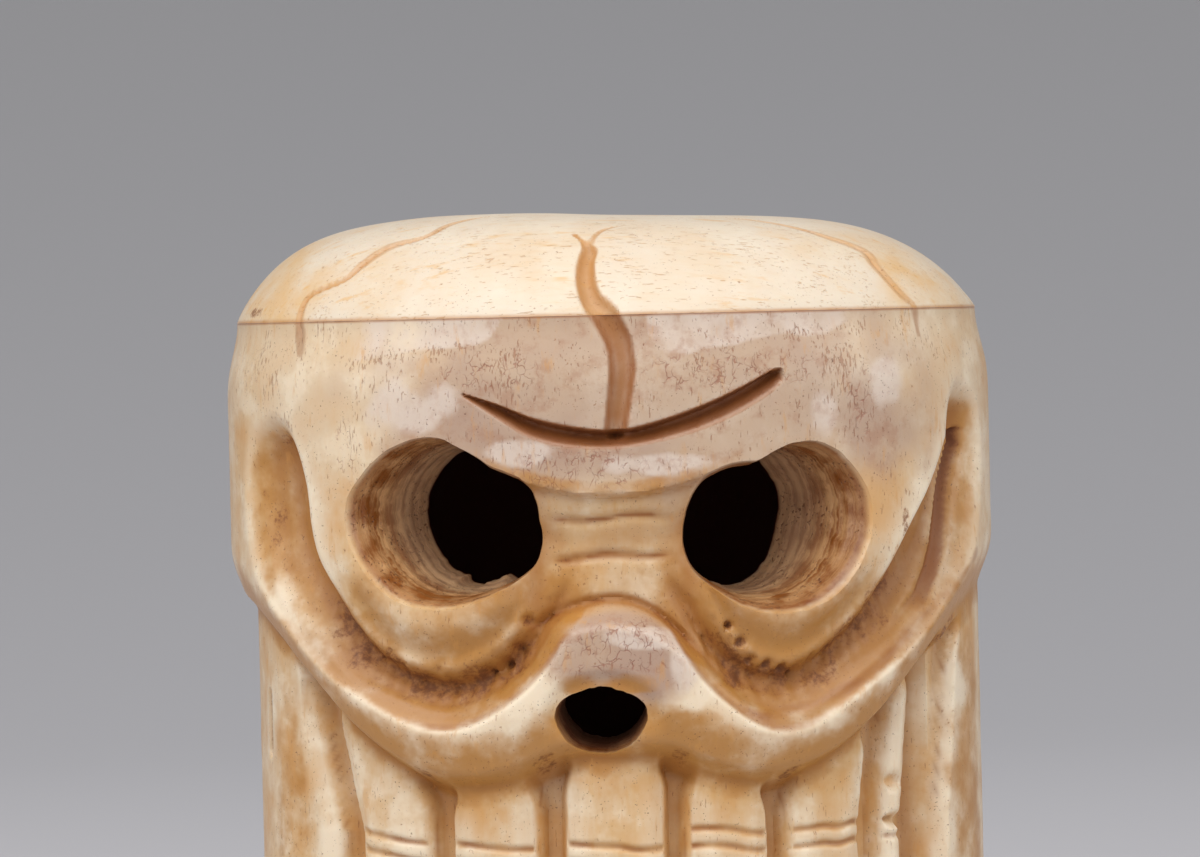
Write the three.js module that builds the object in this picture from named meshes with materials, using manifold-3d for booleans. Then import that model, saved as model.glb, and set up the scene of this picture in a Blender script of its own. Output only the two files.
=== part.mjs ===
// A small skull carved from a length of hollow bone, closed on top by a low domed cap of the same bone.
// Millimetres, +Z up, the face towards -Y. The origin is the middle of the flat underside.
// Places on the face are read on the unrolled tube: "across" runs along the girth from the middle of the
// face, as a share of a quarter of the girth, and "up" runs from the underside, as a share of the body's height.
import * as THREE from "three";
import { mergeVertices } from "three/addons/utils/BufferGeometryUtils.js";
import Module from "manifold-3d";

// Driving sizes of the tube, the cap and the joint between them
const width = 30;
const depth = 25;
const bodyHeight = 28;
const capHeight = 4.3;
const glueLine = 0.05;
const sideWall = 4.2;
const frontWall = 4.1;
const squareness = 2.4;
const jointInset = 0.45;
const jointRounding = 3.6;

// The cap's dome: how square it is towards its edge, and how round at its crown
const domeEdge = 4;
const domeCrown = 1.15;

// Eye sockets and nose hole, each cut right through the wall; the sockets narrow inwards to their taper
const socketWidth = 7.4;
const socketHeight = 6.1;
const socketAcross = 0.292;
const socketUp = 0.724;
const socketTaper = { across: 0.73, up: 0.87 };
const noseHoleWidth = 3.05;
const noseHoleHeight = 2.6;
const noseHoleAside = -0.4;
const noseHoleUp = 0.455;

// Depths of the broad carving below the surface of the tube
const channelDepth = 1.35;
const ridgeRounding = 0.4;
const jawDepth = 1.35;
const sideBandDepth = 0.45;
const bridgeDepth = 1.15;
const browStep = 0.45;
const toothGrooveDepth = 0.95;
const toothGrooveWidth = 1.15;
const chinDepth = 0.55;

// Channel behind each cheek ridge: how far its inner and outer edges stand from the socket's centre at each
// bearing, in shares of the quarter girth. A bearing of 0 degrees is straight down and 90 is outwards.
const bearings = [-45, -20, 0, 30, 60, 85, 110];
const collarReach = {
  left: [0.190, 0.219, 0.237, 0.239, 0.250, 0.277, 0.308],
  right: [0.165, 0.205, 0.232, 0.221, 0.232, 0.281, 0.415],
};
const crestReach = {
  left: [0.290, 0.326, 0.350, 0.340, 0.385, 0.450, 0.480],
  right: [0.270, 0.326, 0.366, 0.335, 0.386, 0.475, 0.540],
};
const channelStart = { from: -66, to: -42 };
const channelEnd = { from: 104, to: 120 };
const channelFloor = 0.45;

// Foot of the cheek ridge, where it steps back to the teeth, and how softly it rolls over
const footAcross = [0, 0.10, 0.20, 0.29, 0.38, 0.48, 0.58, 0.69, 0.80, 1.0];
const footUp = [0.418, 0.418, 0.388, 0.382, 0.400, 0.448, 0.514, 0.575, 0.609, 0.621];
const footStep = 1;
const footRoll = 2.2;
const jawFade = { from: 1.1, to: 1.7 };

// Brow over the nose: a step that rises to both sides, and the saddle under it down to the top of the nose
const browUp = 0.7625;
const browRise = 0.9;
const saddleRun = 2.2;
const noseTop = { from: 0.575, to: 0.62 };
const bridgeSide = { from: 0.13, to: 0.2 };

// Teeth: the middle of each groove, where the row ends on the right, the lines of the mouth, and the chin
const toothGrooves = [-0.545, -0.347, -0.130, 0.115, 0.314, 0.514, 0.625];
const rowEnd = 0.66;
const mouthAcross = [-0.52, 0, 0.58];
const mouthUp = [0.292, 0.268];
const mouthLineWidth = 0.32;
const mouthLineDepth = 0.25;
const chinUp = 0.1;
const chinSlope = 0.03;

// Fine grooves: the frown over the brow, the sutures, the wrinkles of the nose and the slot behind the jaw.
// "climb" is how far a place lies over the joint: towards the crown as a share, below it as a share of the body.
const frown = { across: [-0.245, -0.126, 0.017, 0.158, 0.298], up: [0.896, 0.851, 0.8355, 0.862, 0.916] };
const frownWidth = 0.75;
const frownDepth = 0.6;
const frontSuture = {
  across: [0.011, 0.024, 0.017, -0.002, -0.040, -0.046, -0.018, 0],
  climb: [-0.155, -0.07, -0.03, 0, 0.05, 0.15, 0.4, 0.62],
};
const crownSuture = {
  across: [-0.555, -0.552, -0.535, -0.46, -0.24, 0, 0.24, 0.46, 0.545, 0.57, 0.572],
  climb: [-0.035, 0, 0.12, 0.37, 0.56, 0.62, 0.56, 0.37, 0.12, 0, -0.04],
};
const sutureWidth = 0.95;
const sutureDepth = 0.4;
const crownSutureWidth = 0.6;
const crownSutureDepth = 0.22;
const wrinkleAcross = [-0.095, 0, 0.09];
const wrinklesUp = [0.73, 0.674];
const wrinkleWidth = 0.4;
const wrinkleDepth = 0.18;
const sideSlot = { across: [-0.826, -0.826], up: [0.4, 0.495] };
const sideSlotWidth = 0.4;
const sideSlotDepth = 0.9;

// Spacing of the facets: close on the face, wider at the sides and wide on the back
const frontStep = 0.74;
const sideStep = 1.15;
const backStep = 2.9;
const frontReach = 0.74;
const sideReach = 1.1;
const rowStep = 0.75;
const plainRowStep = 1.5;
const capStep = 1.7;
const capShares = [1, 0.98, 0.94, 0.87, 0.76, 0.6, 0.35, 0];
const girthSteps = 720;
const cavityRows = 3;
const socketSides = 28;
const knifeSides = 6;
const cutterOverrun = 1.5;

const halfWidth = width / 2;
const halfDepth = depth / 2;

// Distance from the axis to a rounded-square outline at an angle from the front
function outline(angle, halfAcross = halfWidth, halfDeep = halfDepth) {
  const side = Math.abs(Math.sin(angle) / halfAcross) ** squareness;
  const front = Math.abs(Math.cos(angle) / halfDeep) ** squareness;
  return (side + front) ** (-1 / squareness);
}

function cavityOutline(angle) {
  return outline(angle, halfWidth - sideWall, halfDepth - frontWall);
}

function heading(angle) {
  return new THREE.Vector3(Math.sin(angle), -Math.cos(angle), 0);
}

// Length along half the girth, step by step from the front round to the back
const girthTable = [0];
for (let i = 1; i <= girthSteps; i += 1) {
  const [before, after] = [i - 1, i].map((k) => {
    const angle = (k / girthSteps) * Math.PI;
    return heading(angle).multiplyScalar(outline(angle));
  });
  girthTable.push(girthTable[i - 1] + before.distanceTo(after));
}
const halfGirth = girthTable[girthSteps];
const quarterGirth = girthTable[girthSteps / 2];

function angleAt(across) {
  const length = Math.min(Math.abs(across), halfGirth);
  let i = 1;
  while (i < girthSteps && girthTable[i] < length) i += 1;
  const share = (length - girthTable[i - 1]) / (girthTable[i] - girthTable[i - 1]);
  return Math.sign(across) * ((i - 1 + share) / girthSteps) * Math.PI;
}

// Smooth rise from 0 to 1 between two places
function rise(from, to, x) {
  return THREE.MathUtils.smoothstep((x - from) / (to - from), 0, 1);
}

function fall(from, to, x) {
  return 1 - rise(from, to, x);
}

// Smooth curve through a few knots, read at x
function through(xs, ys, x) {
  const last = xs.length - 1;
  if (x <= xs[0]) return ys[0];
  if (x >= xs[last]) return ys[last];
  let i = 0;
  while (xs[i + 1] < x) i += 1;
  const slope = (k) => {
    const before = Math.max(k - 1, 0);
    const after = Math.min(k + 1, last);
    return (ys[after] - ys[before]) / (xs[after] - xs[before]);
  };
  const run = xs[i + 1] - xs[i];
  const t = (x - xs[i]) / run;
  const blend = t * t * (3 - 2 * t);
  const lead = t * (1 - t) * (1 - t) * run * slope(i);
  const trail = t * t * (t - 1) * run * slope(i + 1);
  return ys[i] + blend * (ys[i + 1] - ys[i]) + lead + trail;
}

// Channel that curls round the socket's collar from beside the nose up to the temple
function channel(across, z) {
  const hand = across < 0 ? "left" : "right";
  const out = Math.abs(across) - socketAcross * quarterGirth;
  const down = socketUp * bodyHeight - z;
  const reach = Math.hypot(out, down) / quarterGirth;
  const bearing = THREE.MathUtils.radToDeg(Math.atan2(out, down));
  const inner = through(bearings, collarReach[hand], bearing);
  const outer = through(bearings, crestReach[hand], bearing);
  const place = (reach - inner) / (outer - inner);
  const section = rise(0, channelFloor, place) * fall(channelFloor, 1, place);
  const start = rise(channelStart.from, channelStart.to, bearing);
  const end = fall(channelEnd.from, channelEnd.to, bearing);
  return channelDepth * section * start * end;
}

function footOfRidge(across) {
  return through(footAcross, footUp, Math.abs(across) / quarterGirth) * bodyHeight;
}

// Step from the cheek ridge back to the teeth, the shallower band at the right side, and the chin
function jaw(across, z) {
  const share = across / quarterGirth;
  const foot = footOfRidge(across);
  const step = fall(foot - footStep * 0.7, foot + footStep * 0.3, z);
  const roll = fall(foot, foot + footRoll, z) * (1 - step);
  const sunk = THREE.MathUtils.lerp(jawDepth, sideBandDepth, rise(rowEnd - chinSlope, rowEnd, share));
  const chin = fall(chinUp - chinSlope, chinUp, z / bodyHeight);
  const behind = THREE.MathUtils.lerp(sunk, Math.min(sunk, chinDepth), chin);
  return fall(jawFade.from, jawFade.to, Math.abs(share)) * (step * behind + roll * ridgeRounding);
}

// Straight flat-bottomed grooves between the teeth, stopped at the chin
function teeth(across, z) {
  const foot = footOfRidge(across);
  const below = fall(foot - footStep * 1.2, foot - footStep * 0.2, z);
  const above = rise(chinUp - chinSlope / 2, chinUp + chinSlope, z / bodyHeight);
  const nearest = Math.min(...toothGrooves.map((place) => Math.abs(across - place * quarterGirth)));
  return toothGrooveDepth * fall(0.3, 0.52, nearest / toothGrooveWidth) * below * above;
}

// Saddle of the nose between the sockets, under the step of the brow
function noseBridge(across, z) {
  const share = across / quarterGirth;
  const brow = (browUp + browRise * share ** 2) * bodyHeight;
  const step = fall(brow - browStep, brow, z);
  const saddle = fall(brow - saddleRun, brow, z);
  const overNose = rise(noseTop.from, noseTop.to, z / bodyHeight);
  const middle = fall(bridgeSide.from, bridgeSide.to, Math.abs(share));
  return middle * overNose * (browStep * step + (bridgeDepth - browStep) * saddle);
}

function relief(across, z) {
  const rim = jointInset * rise(bodyHeight - jointRounding, bodyHeight, z) ** 2;
  const carved = Math.max(channel(across, z), noseBridge(across, z), jaw(across, z));
  return rim + carved + teeth(across, z);
}

// A point at a place on the carved body, lifted off its surface
function onBody(across, z, lift = 0) {
  const angle = angleAt(across);
  return heading(angle).multiplyScalar(outline(angle) - relief(across, z) + lift).setZ(z);
}

// A point on the cap's dome, at a share of the way from its crown out to its edge
function onDome(across, share) {
  const angle = angleAt(across);
  const height = (1 - share ** domeEdge) ** (1 / domeCrown) * (capHeight - glueLine);
  return heading(angle).multiplyScalar(share * (outline(angle) - jointInset)).setZ(bodyHeight + glueLine + height);
}

// Where the columns of facets stand along the whole girth, with four at each tooth groove
function girthColumns() {
  const places = [];
  let across = -halfGirth;
  while (across < halfGirth - backStep / 2) {
    places.push(across);
    const out = Math.abs(across) / quarterGirth;
    across += out < frontReach ? frontStep : out < sideReach ? sideStep : backStep;
  }
  const offsets = [-0.52, -0.3, 0.3, 0.52].map((share) => share * toothGrooveWidth);
  const edges = toothGrooves.flatMap((place) => offsets.map((offset) => place * quarterGirth + offset));
  const clear = places.filter((place) => edges.every((edge) => Math.abs(edge - place) > frontStep / 3));
  return [...clear, ...edges].sort((a, b) => a - b);
}

// Heights of the rows of facets: few below the mouth, close on the face, and few over the rounding to the joint
function bodyRows() {
  const rows = [];
  const mouth = mouthUp[1] * bodyHeight;
  const rounding = bodyHeight - jointRounding * 0.7;
  for (let z = 0; z < mouth; z += plainRowStep) rows.push(z);
  for (let z = mouth; z < rounding - rowStep / 2; z += rowStep) rows.push(z);
  return [...rows, rounding, (rounding + bodyHeight) / 2, bodyHeight];
}

const wasm = await Module();
wasm.setup();

function solid(geometry) {
  geometry.deleteAttribute("normal");
  geometry.deleteAttribute("uv");
  const merged = mergeVertices(geometry, 1e-5);
  const triVerts = new Uint32Array(merged.index.array);
  const vertProperties = new Float32Array(merged.attributes.position.array);
  return new wasm.Manifold(new wasm.Mesh({ numProp: 3, vertProperties, triVerts }));
}

function named(name, shape, colour, roughness) {
  const { vertProperties, triVerts } = shape.getMesh();
  const geometry = new THREE.BufferGeometry();
  geometry.setAttribute("position", new THREE.BufferAttribute(vertProperties, 3));
  geometry.setIndex(new THREE.BufferAttribute(triVerts, 1));
  geometry.computeVertexNormals();
  const material = new THREE.MeshStandardMaterial({ color: colour, roughness, metalness: 0 });
  const mesh = new THREE.Mesh(geometry, material);
  mesh.name = name;
  return mesh;
}

// A turned form whose every point is moved to where place(column, row) says. A closed one is a ring.
function warpedLathe(rowCount, columnCount, place, closed) {
  const profile = [];
  for (let j = 0; j < rowCount; j += 1) profile.push(new THREE.Vector2(1 + j, j));
  if (closed) profile.push(profile[0].clone());
  const geometry = new THREE.LatheGeometry(profile, columnCount);
  const position = geometry.attributes.position;
  for (let i = 0; i <= columnCount; i += 1) {
    for (let j = 0; j < profile.length; j += 1) {
      const point = place(i % columnCount, j % rowCount);
      position.setXYZ(i * profile.length + j, point.x, point.y, point.z);
    }
  }
  return solid(geometry);
}

// Carved skin outside and plain marrow cavity inside, in one closed ring
function tube() {
  const columns = girthColumns();
  const rows = bodyRows();
  return warpedLathe(rows.length + cavityRows, columns.length, (i, j) => {
    if (j < rows.length) return onBody(columns[i], rows[j]);
    const angle = angleAt(columns[i]);
    const down = (j - rows.length) / (cavityRows - 1);
    return heading(angle).multiplyScalar(cavityOutline(angle)).setZ(bodyHeight * (1 - down));
  }, true);
}

// Low dome over the tube's outline, flat below
function dome() {
  const columnCount = Math.round((2 * halfGirth) / capStep);
  return warpedLathe(capShares.length + 1, columnCount, (i, j) => {
    const across = ((i + 0.5) / columnCount - 0.5) * 2 * halfGirth;
    return j > 0 ? onDome(across, capShares[j - 1]) : new THREE.Vector3(0, 0, bodyHeight + glueLine);
  }, false);
}

// Cone of oval section that cuts one socket, its axis square to the tube's wall
function socketCutter(across) {
  const angle = angleAt(across);
  const inside = cavityOutline(angle);
  const outside = outline(angle);
  const out = heading(angle);
  const side = new THREE.Vector3(0, 0, 1).cross(out);
  return warpedLathe(4, socketSides, (i, j) => {
    const reach = j < 2 ? inside - cutterOverrun : outside + cutterOverrun;
    const sunk = (outside - reach) / (outside - inside);
    const full = j === 1 || j === 2 ? 0.5 : 0;
    const turn = (i / socketSides) * 2 * Math.PI;
    const aside = full * socketWidth * Math.cos(turn) * (1 - (1 - socketTaper.across) * sunk);
    const high = full * socketHeight * Math.sin(turn) * (1 - (1 - socketTaper.up) * sunk);
    return out.clone().multiplyScalar(reach).addScaledVector(side, aside).setZ(socketUp * bodyHeight + high);
  }, false);
}

// Pointed arch with a round foot that cuts the nose hole straight back
function noseHoleCutter() {
  const half = noseHoleWidth / 2;
  const shoulder = noseHoleHeight * 0.5;
  const shape = new THREE.Shape();
  shape.moveTo(-half, 0);
  shape.bezierCurveTo(-half, -shoulder * 1.2, half, -shoulder * 1.2, half, 0);
  shape.quadraticCurveTo(half * 0.8, shoulder * 0.8, 0, shoulder * 1.1);
  shape.quadraticCurveTo(-half * 0.8, shoulder * 0.8, -half, 0);
  const length = frontWall + 2 * cutterOverrun;
  const prism = new THREE.ExtrudeGeometry(shape, { depth: length, bevelEnabled: false, curveSegments: 7 });
  prism.rotateX(Math.PI / 2);
  prism.translate(noseHoleAside, -(halfDepth - frontWall - cutterOverrun), noseHoleUp * bodyHeight);
  return solid(prism);
}

// Tapering bar laid along stations on the surface, to be cut out as a groove
function knife(stations, grooveWidth, grooveDepth, taper = () => 1) {
  const count = stations.length;
  const frames = stations.map(({ point, out }, i) => {
    const before = stations[Math.max(i - 1, 0)].point;
    const after = stations[Math.min(i + 1, count - 1)].point;
    const along = after.clone().sub(before).normalize();
    const side = new THREE.Vector3().crossVectors(out, along).normalize();
    return { point, side, out: new THREE.Vector3().crossVectors(along, side), size: taper(i / (count - 1)) };
  });
  return warpedLathe(count + 2, knifeSides, (i, j) => {
    const { point, side, out, size } = frames[THREE.MathUtils.clamp(j - 1, 0, count - 1)];
    const full = j > 0 && j <= count ? size : 0;
    const turn = (i / knifeSides) * 2 * Math.PI;
    return point.clone()
      .addScaledVector(side, full * (grooveWidth / 2) * Math.cos(turn))
      .addScaledVector(out, full * grooveDepth * Math.sin(turn));
  }, false);
}

// Stations along a smooth line over the body, at the level of its broad carving or of the teeth's faces
function alongBody({ across, up }, count, fillGrooves = false) {
  const keys = across.map((_, k) => k);
  return Array.from({ length: count }, (_, i) => {
    const t = (i / (count - 1)) * (keys.length - 1);
    const place = through(keys, across, t) * quarterGirth;
    const z = through(keys, up, t) * bodyHeight;
    const lift = fillGrooves ? teeth(place, z) : 0;
    return { point: onBody(place, z, lift), out: heading(angleAt(place)) };
  });
}

// Stations along a suture that runs from the body over the joint and up the dome
function alongSuture({ across, climb }, count) {
  const keys = across.map((_, k) => k);
  return Array.from({ length: count }, (_, i) => {
    const t = (i / (count - 1)) * (keys.length - 1);
    const place = through(keys, across, t) * quarterGirth;
    const high = through(keys, climb, t);
    const lean = rise(0, 0.35, high);
    const out = heading(angleAt(place)).multiplyScalar(1 - lean).setZ(lean).normalize();
    const point = high < 0 ? onBody(place, bodyHeight * (1 + high)) : onDome(place, 1 - high);
    return { point, out };
  });
}

// The frown starts at a point and ends round, and a suture dies away at both ends
const frownTaper = (t) => rise(-0.1, 0.35, t) * fall(0.95, 1.15, t);
const sutureTaper = (t) => rise(-0.05, 0.1, t) * fall(0.9, 1.05, t);

const straightLine = (across, height) => ({ across, up: across.map(() => height) });
const sutures = [
  knife(alongSuture(frontSuture, 18), sutureWidth, sutureDepth),
  knife(alongSuture(crownSuture, 30), crownSutureWidth, crownSutureDepth, sutureTaper),
];
const bodyCuts = [
  socketCutter(-socketAcross * quarterGirth),
  socketCutter(socketAcross * quarterGirth),
  noseHoleCutter(),
  knife(alongBody(frown, 14), frownWidth, frownDepth, frownTaper),
  knife(alongBody(sideSlot, 4), sideSlotWidth, sideSlotDepth),
  ...wrinklesUp.map((height) => knife(
    alongBody(straightLine(wrinkleAcross, height), 5), wrinkleWidth, wrinkleDepth,
  )),
  ...mouthUp.map((height) => knife(
    alongBody(straightLine(mouthAcross, height), 16, true), mouthLineWidth, mouthLineDepth,
  )),
];

const body = [...bodyCuts, ...sutures].reduce((carved, cutter) => carved.subtract(cutter), tube());
const cap = sutures.reduce((carved, cutter) => carved.subtract(cutter), dome());

const skull = new THREE.Group();
skull.add(named("skull_body", body, 0xe3c9a4, 0.45));
skull.add(named("skull_cap", cap, 0xf0e2c6, 0.4));
export default skull;
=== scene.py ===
"""Looks of a small skull carved from a length of hollow bone and closed by a domed cap of the same bone.

Shapes are worked out in millimetres, with +Z up and the face towards -Y, and become metres when a mesh is
made. Places on the face are read on the unrolled tube: u runs along the girth from the middle of the face,
and z runs up from the underside.
"""

import logging
import math
from dataclasses import dataclass, field
from enum import Enum

import bpy
import numpy as np
from mathutils import Matrix, Vector


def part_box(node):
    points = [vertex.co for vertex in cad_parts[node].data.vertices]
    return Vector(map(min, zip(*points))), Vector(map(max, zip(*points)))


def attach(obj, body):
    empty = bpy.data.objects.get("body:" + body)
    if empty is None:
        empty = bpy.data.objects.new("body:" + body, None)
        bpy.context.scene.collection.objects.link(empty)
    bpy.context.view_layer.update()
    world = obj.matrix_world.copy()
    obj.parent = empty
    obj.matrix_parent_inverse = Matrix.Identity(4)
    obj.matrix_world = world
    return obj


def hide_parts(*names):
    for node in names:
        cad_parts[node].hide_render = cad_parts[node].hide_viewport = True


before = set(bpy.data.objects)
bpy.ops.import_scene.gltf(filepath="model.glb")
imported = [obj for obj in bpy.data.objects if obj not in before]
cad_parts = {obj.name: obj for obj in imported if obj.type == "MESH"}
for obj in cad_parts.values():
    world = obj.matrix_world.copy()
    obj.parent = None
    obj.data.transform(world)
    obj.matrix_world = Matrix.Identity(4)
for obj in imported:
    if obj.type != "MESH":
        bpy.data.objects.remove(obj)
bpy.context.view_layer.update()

MM = 0.001
BODY_NODE = "skull_body"
CAP_NODE = "skull_cap"
CROWN_WEAR = 0.13
log = logging.getLogger("skull")

Array = np.ndarray
Pair = tuple[np.ndarray, np.ndarray]
Floats = tuple[float, ...]
Ovals = tuple[Floats, ...]
Rgb = tuple[int, int, int]


class Side(Enum):
    """A side of the face, with the sign of its u."""

    LEFT = -1
    RIGHT = 1


class Grain(Enum):
    """Which way the bone's pores run, as the stretch of a pattern along X, Y and Z."""

    UPRIGHT = (1.0, 1.0, 0.2)
    ACROSS = (0.16, 1.0, 1.0)


def rise(start: float, end: float, x: Array) -> Array:
    """Smooth rise from 0 at start to 1 at end: three times the square less twice the cube.

    Args:
        start: Where the rise begins.
        end: Where it is complete.
        x: Places to read.

    Returns:
        Values from 0 to 1.
    """
    t = np.clip((x - start) / (end - start), 0.0, 1.0)
    return t * t * (3.0 - 2.0 * t)


def fall(start: float, end: float, x: Array) -> Array:
    """One less the rise between the same places."""
    return 1.0 - rise(start, end, x)


def through(xs: list[float], ys: list[float], x: Array) -> Array:
    """Smooth curve through a few knots: a cubic between neighbours, its slopes from the knots on either side.

    Args:
        xs: Places of the knots, rising.
        ys: Values at the knots.
        x: Places to read. Beyond the ends the curve keeps its last value.

    Returns:
        Values at x.
    """
    xs = np.asarray(xs, float)
    ys = np.asarray(ys, float)
    slopes = np.gradient(ys, xs)
    slopes[1:-1] = (ys[2:] - ys[:-2]) / (xs[2:] - xs[:-2])
    x = np.clip(x, xs[0], xs[-1])
    i = np.clip(np.searchsorted(xs, x) - 1, 0, len(xs) - 2)
    run = xs[i + 1] - xs[i]
    t = (x - xs[i]) / run
    blend = t * t * (3.0 - 2.0 * t)
    lead = t * (1.0 - t) ** 2 * run * slopes[i]
    trail = t * t * (t - 1.0) * run * slopes[i + 1]
    return ys[i] + blend * (ys[i + 1] - ys[i]) + lead + trail


def larger(a: Array, b: Array, sharpness: float = 6.0) -> Array:
    """The larger of two depths, eased where they are alike: the root of the sum of their high powers."""
    a = np.clip(a, 0.0, None)
    b = np.clip(b, 0.0, None)
    return (a**sharpness + b**sharpness) ** (1.0 / sharpness)


def uneven(a: Array, b: Array, size: float, seed: int) -> Array:
    """Smooth random heights: seeded values on a lattice of the given size, blended by the smooth rise.

    Args:
        a: First places.
        b: Second places.
        size: Spacing of the lattice.
        seed: Which set of random values to use.

    Returns:
        Heights from -1 to 1.
    """
    count = 64
    lattice = np.random.default_rng(seed).uniform(-1.0, 1.0, (count, count))
    a, b = np.broadcast_arrays(a / size, b / size)
    i = np.floor(a).astype(int)
    j = np.floor(b).astype(int)
    s = rise(0.0, 1.0, a - i)
    t = rise(0.0, 1.0, b - j)
    near = lattice[i % count, j % count] * (1.0 - s) + lattice[(i + 1) % count, j % count] * s
    far = lattice[i % count, (j + 1) % count] * (1.0 - s) + lattice[(i + 1) % count, (j + 1) % count] * s
    return near * (1.0 - t) + far * t


def nearest(path: Array, points: Array) -> Pair:
    """Distance from points to a path of short straight runs, by dropping each point square onto each run.

    Args:
        path: The path's points, one in each row.
        points: Points to measure, the coordinates last.

    Returns:
        The distances, and how far along the path the nearest places lie, from 0 to 1.
    """
    gap = np.full(points.shape[:-1], np.inf)
    along = np.zeros(points.shape[:-1])
    count = len(path) - 1
    for k in range(count):
        run = path[k + 1] - path[k]
        t = np.clip((points - path[k]) @ run / (run @ run), 0.0, 1.0)
        away = np.linalg.norm(points - path[k] - t[..., None] * run, axis=-1)
        nearer = away < gap
        gap = np.where(nearer, away, gap)
        along = np.where(nearer, (k + t) / count, along)
    return gap, along


def along_path(us: Floats, zs: Floats, u: Array, z: Array) -> Pair:
    """The same for places on the unrolled tube and a path given by its lengths and heights."""
    return nearest(np.stack([us, zs], axis=-1), np.stack(np.broadcast_arrays(u, z), axis=-1))


def ovals(patches: Ovals, a: Array, b: Array, ragged: Array | float, start: float, end: float) -> Array:
    """Soft ovals, the strongest of them at each place.

    Args:
        patches: The middle, half width and half height of each oval, and its strength where it is not 1.
        a: First places.
        b: Second places.
        ragged: What is added to the distance from the middle, so that the edges wander.
        start: Distance, in half widths, where an oval begins to fade.
        end: Where it is gone.

    Returns:
        Values from 0 to 1.
    """
    made = np.zeros(np.broadcast(a, b).shape)
    for at_a, at_b, wide, high, *strength in patches:
        gap = np.hypot((a - at_a) / wide, (b - at_b) / high) + ragged
        made = np.maximum(made, (strength[0] if strength else 1.0) * fall(start, end, gap))
    return made


def blurred(values: Array, cells: int) -> Array:
    """A map made smooth by three running means along each way, so that each value spreads as a bell curve.

    Args:
        values: The map.
        cells: Half the width of the running mean, in cells.

    Returns:
        The smooth map, of the same size.
    """
    width = 2 * cells + 1
    for axis in (0, 1, 0, 1, 0, 1):
        pad = [(0, 0), (0, 0)]
        pad[axis] = (cells + 1, cells)
        sums = np.cumsum(np.pad(values, pad, mode="edge"), axis=axis)
        ahead = np.take(sums, range(width, sums.shape[axis]), axis=axis)
        behind = np.take(sums, range(0, sums.shape[axis] - width), axis=axis)
        values = (ahead - behind) / width
    return values


def steps(places: list[float], spacings: list[float]) -> Array:
    """Places from the first to the last, spaced evenly within each stretch.

    Args:
        places: Where the stretches begin and end.
        spacings: Widest spacing in each stretch.

    Returns:
        The places, rising.
    """
    made = [np.array(places[:1])]
    for start, end, spacing in zip(places, places[1:], spacings):
        made.append(np.linspace(start, end, math.ceil((end - start) / spacing) + 1)[1:])
    return np.concatenate(made)


def parted(points: Array, cells: tuple[Array, ...]) -> Array:
    """Two triangles for each four-cornered cell, parted along the shorter diagonal so that slanting edges
    stay clean.

    Args:
        points: Vertices.
        cells: Vertex numbers of the four corners in turn, each for all the cells.

    Returns:
        Vertex numbers, three to a triangle.
    """
    a, b, c, d = cells
    across, other = (np.linalg.norm(points[q] - points[p], axis=-1) for p, q in ((a, c), (b, d)))
    straight = across <= other
    first = np.stack([a, b, np.where(straight, c, d)], axis=-1)
    second = np.stack([np.where(straight, a, b), c, d], axis=-1)
    return np.concatenate([first.reshape(-1, 3), second.reshape(-1, 3)])


def grid_triangles(places: Array, ring: bool) -> Array:
    """Triangles over a grid whose columns close on themselves, and whose rows do too where it is a ring.

    Args:
        places: The grid's points, row by row, the coordinates last.
        ring: Whether the last row meets the first.

    Returns:
        Vertex numbers, three to a triangle.
    """
    rows, columns = places.shape[:2]
    i, j = np.meshgrid(np.arange(rows if ring else rows - 1), np.arange(columns), indexing="ij")
    up = (i + 1) % rows
    on = (j + 1) % columns
    cells = tuple(row * columns + column for row, column in ((i, j), (i, on), (up, on), (up, j)))
    return parted(places.reshape(-1, 3), cells)


def fan(ring: Array, tip: int) -> Array:
    """Triangles from each side of a closed ring of vertices to one tip vertex."""
    return np.stack([ring, np.roll(ring, -1), np.full_like(ring, tip)], axis=-1)


def solid_object(name: str, points: Array, triangles: Array) -> bpy.types.Object:
    """Make a closed mesh object, turned so that its faces point out: its volume has to be positive.

    Args:
        name: The object's name.
        points: Vertices in millimetres.
        triangles: Vertex numbers, three to a triangle.

    Returns:
        The object, linked to the scene, at the origin.
    """
    a, b, c = (points[triangles[:, k]] for k in range(3))
    if np.einsum("ij,ij->", a, np.cross(b, c)) < 0.0:
        triangles = triangles[:, ::-1]
    mesh = bpy.data.meshes.new(name)
    mesh.vertices.add(len(points))
    mesh.vertices.foreach_set("co", (points * MM).astype(np.float32).ravel())
    mesh.loops.add(triangles.size)
    mesh.loops.foreach_set("vertex_index", triangles.astype(np.int32).ravel())
    mesh.polygons.add(len(triangles))
    mesh.polygons.foreach_set("loop_start", np.arange(0, triangles.size, 3, dtype=np.int32))
    mesh.update(calc_edges=True)
    made = bpy.data.objects.new(name, mesh)
    bpy.context.scene.collection.objects.link(made)
    return made


def cut(piece: bpy.types.Object, cutter: bpy.types.Object) -> None:
    """Take the cutter's solid out of the piece, and delete the cutter."""
    tool = piece.modifiers.new("Cut", "BOOLEAN")
    tool.operation = "DIFFERENCE"
    tool.solver = "MANIFOLD"
    tool.object = cutter
    carved = bpy.data.meshes.new_from_object(piece.evaluated_get(bpy.context.evaluated_depsgraph_get()))
    piece.modifiers.remove(tool)
    piece.data = carved
    carved.name = piece.name
    bpy.data.objects.remove(cutter)


def vertices_of(piece: bpy.types.Object) -> Array:
    """The piece's vertices in millimetres, one in each row."""
    flat = np.empty(len(piece.data.vertices) * 3, np.float32)
    piece.data.vertices.foreach_get("co", flat)
    return flat.reshape(-1, 3).astype(float) / MM


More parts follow.
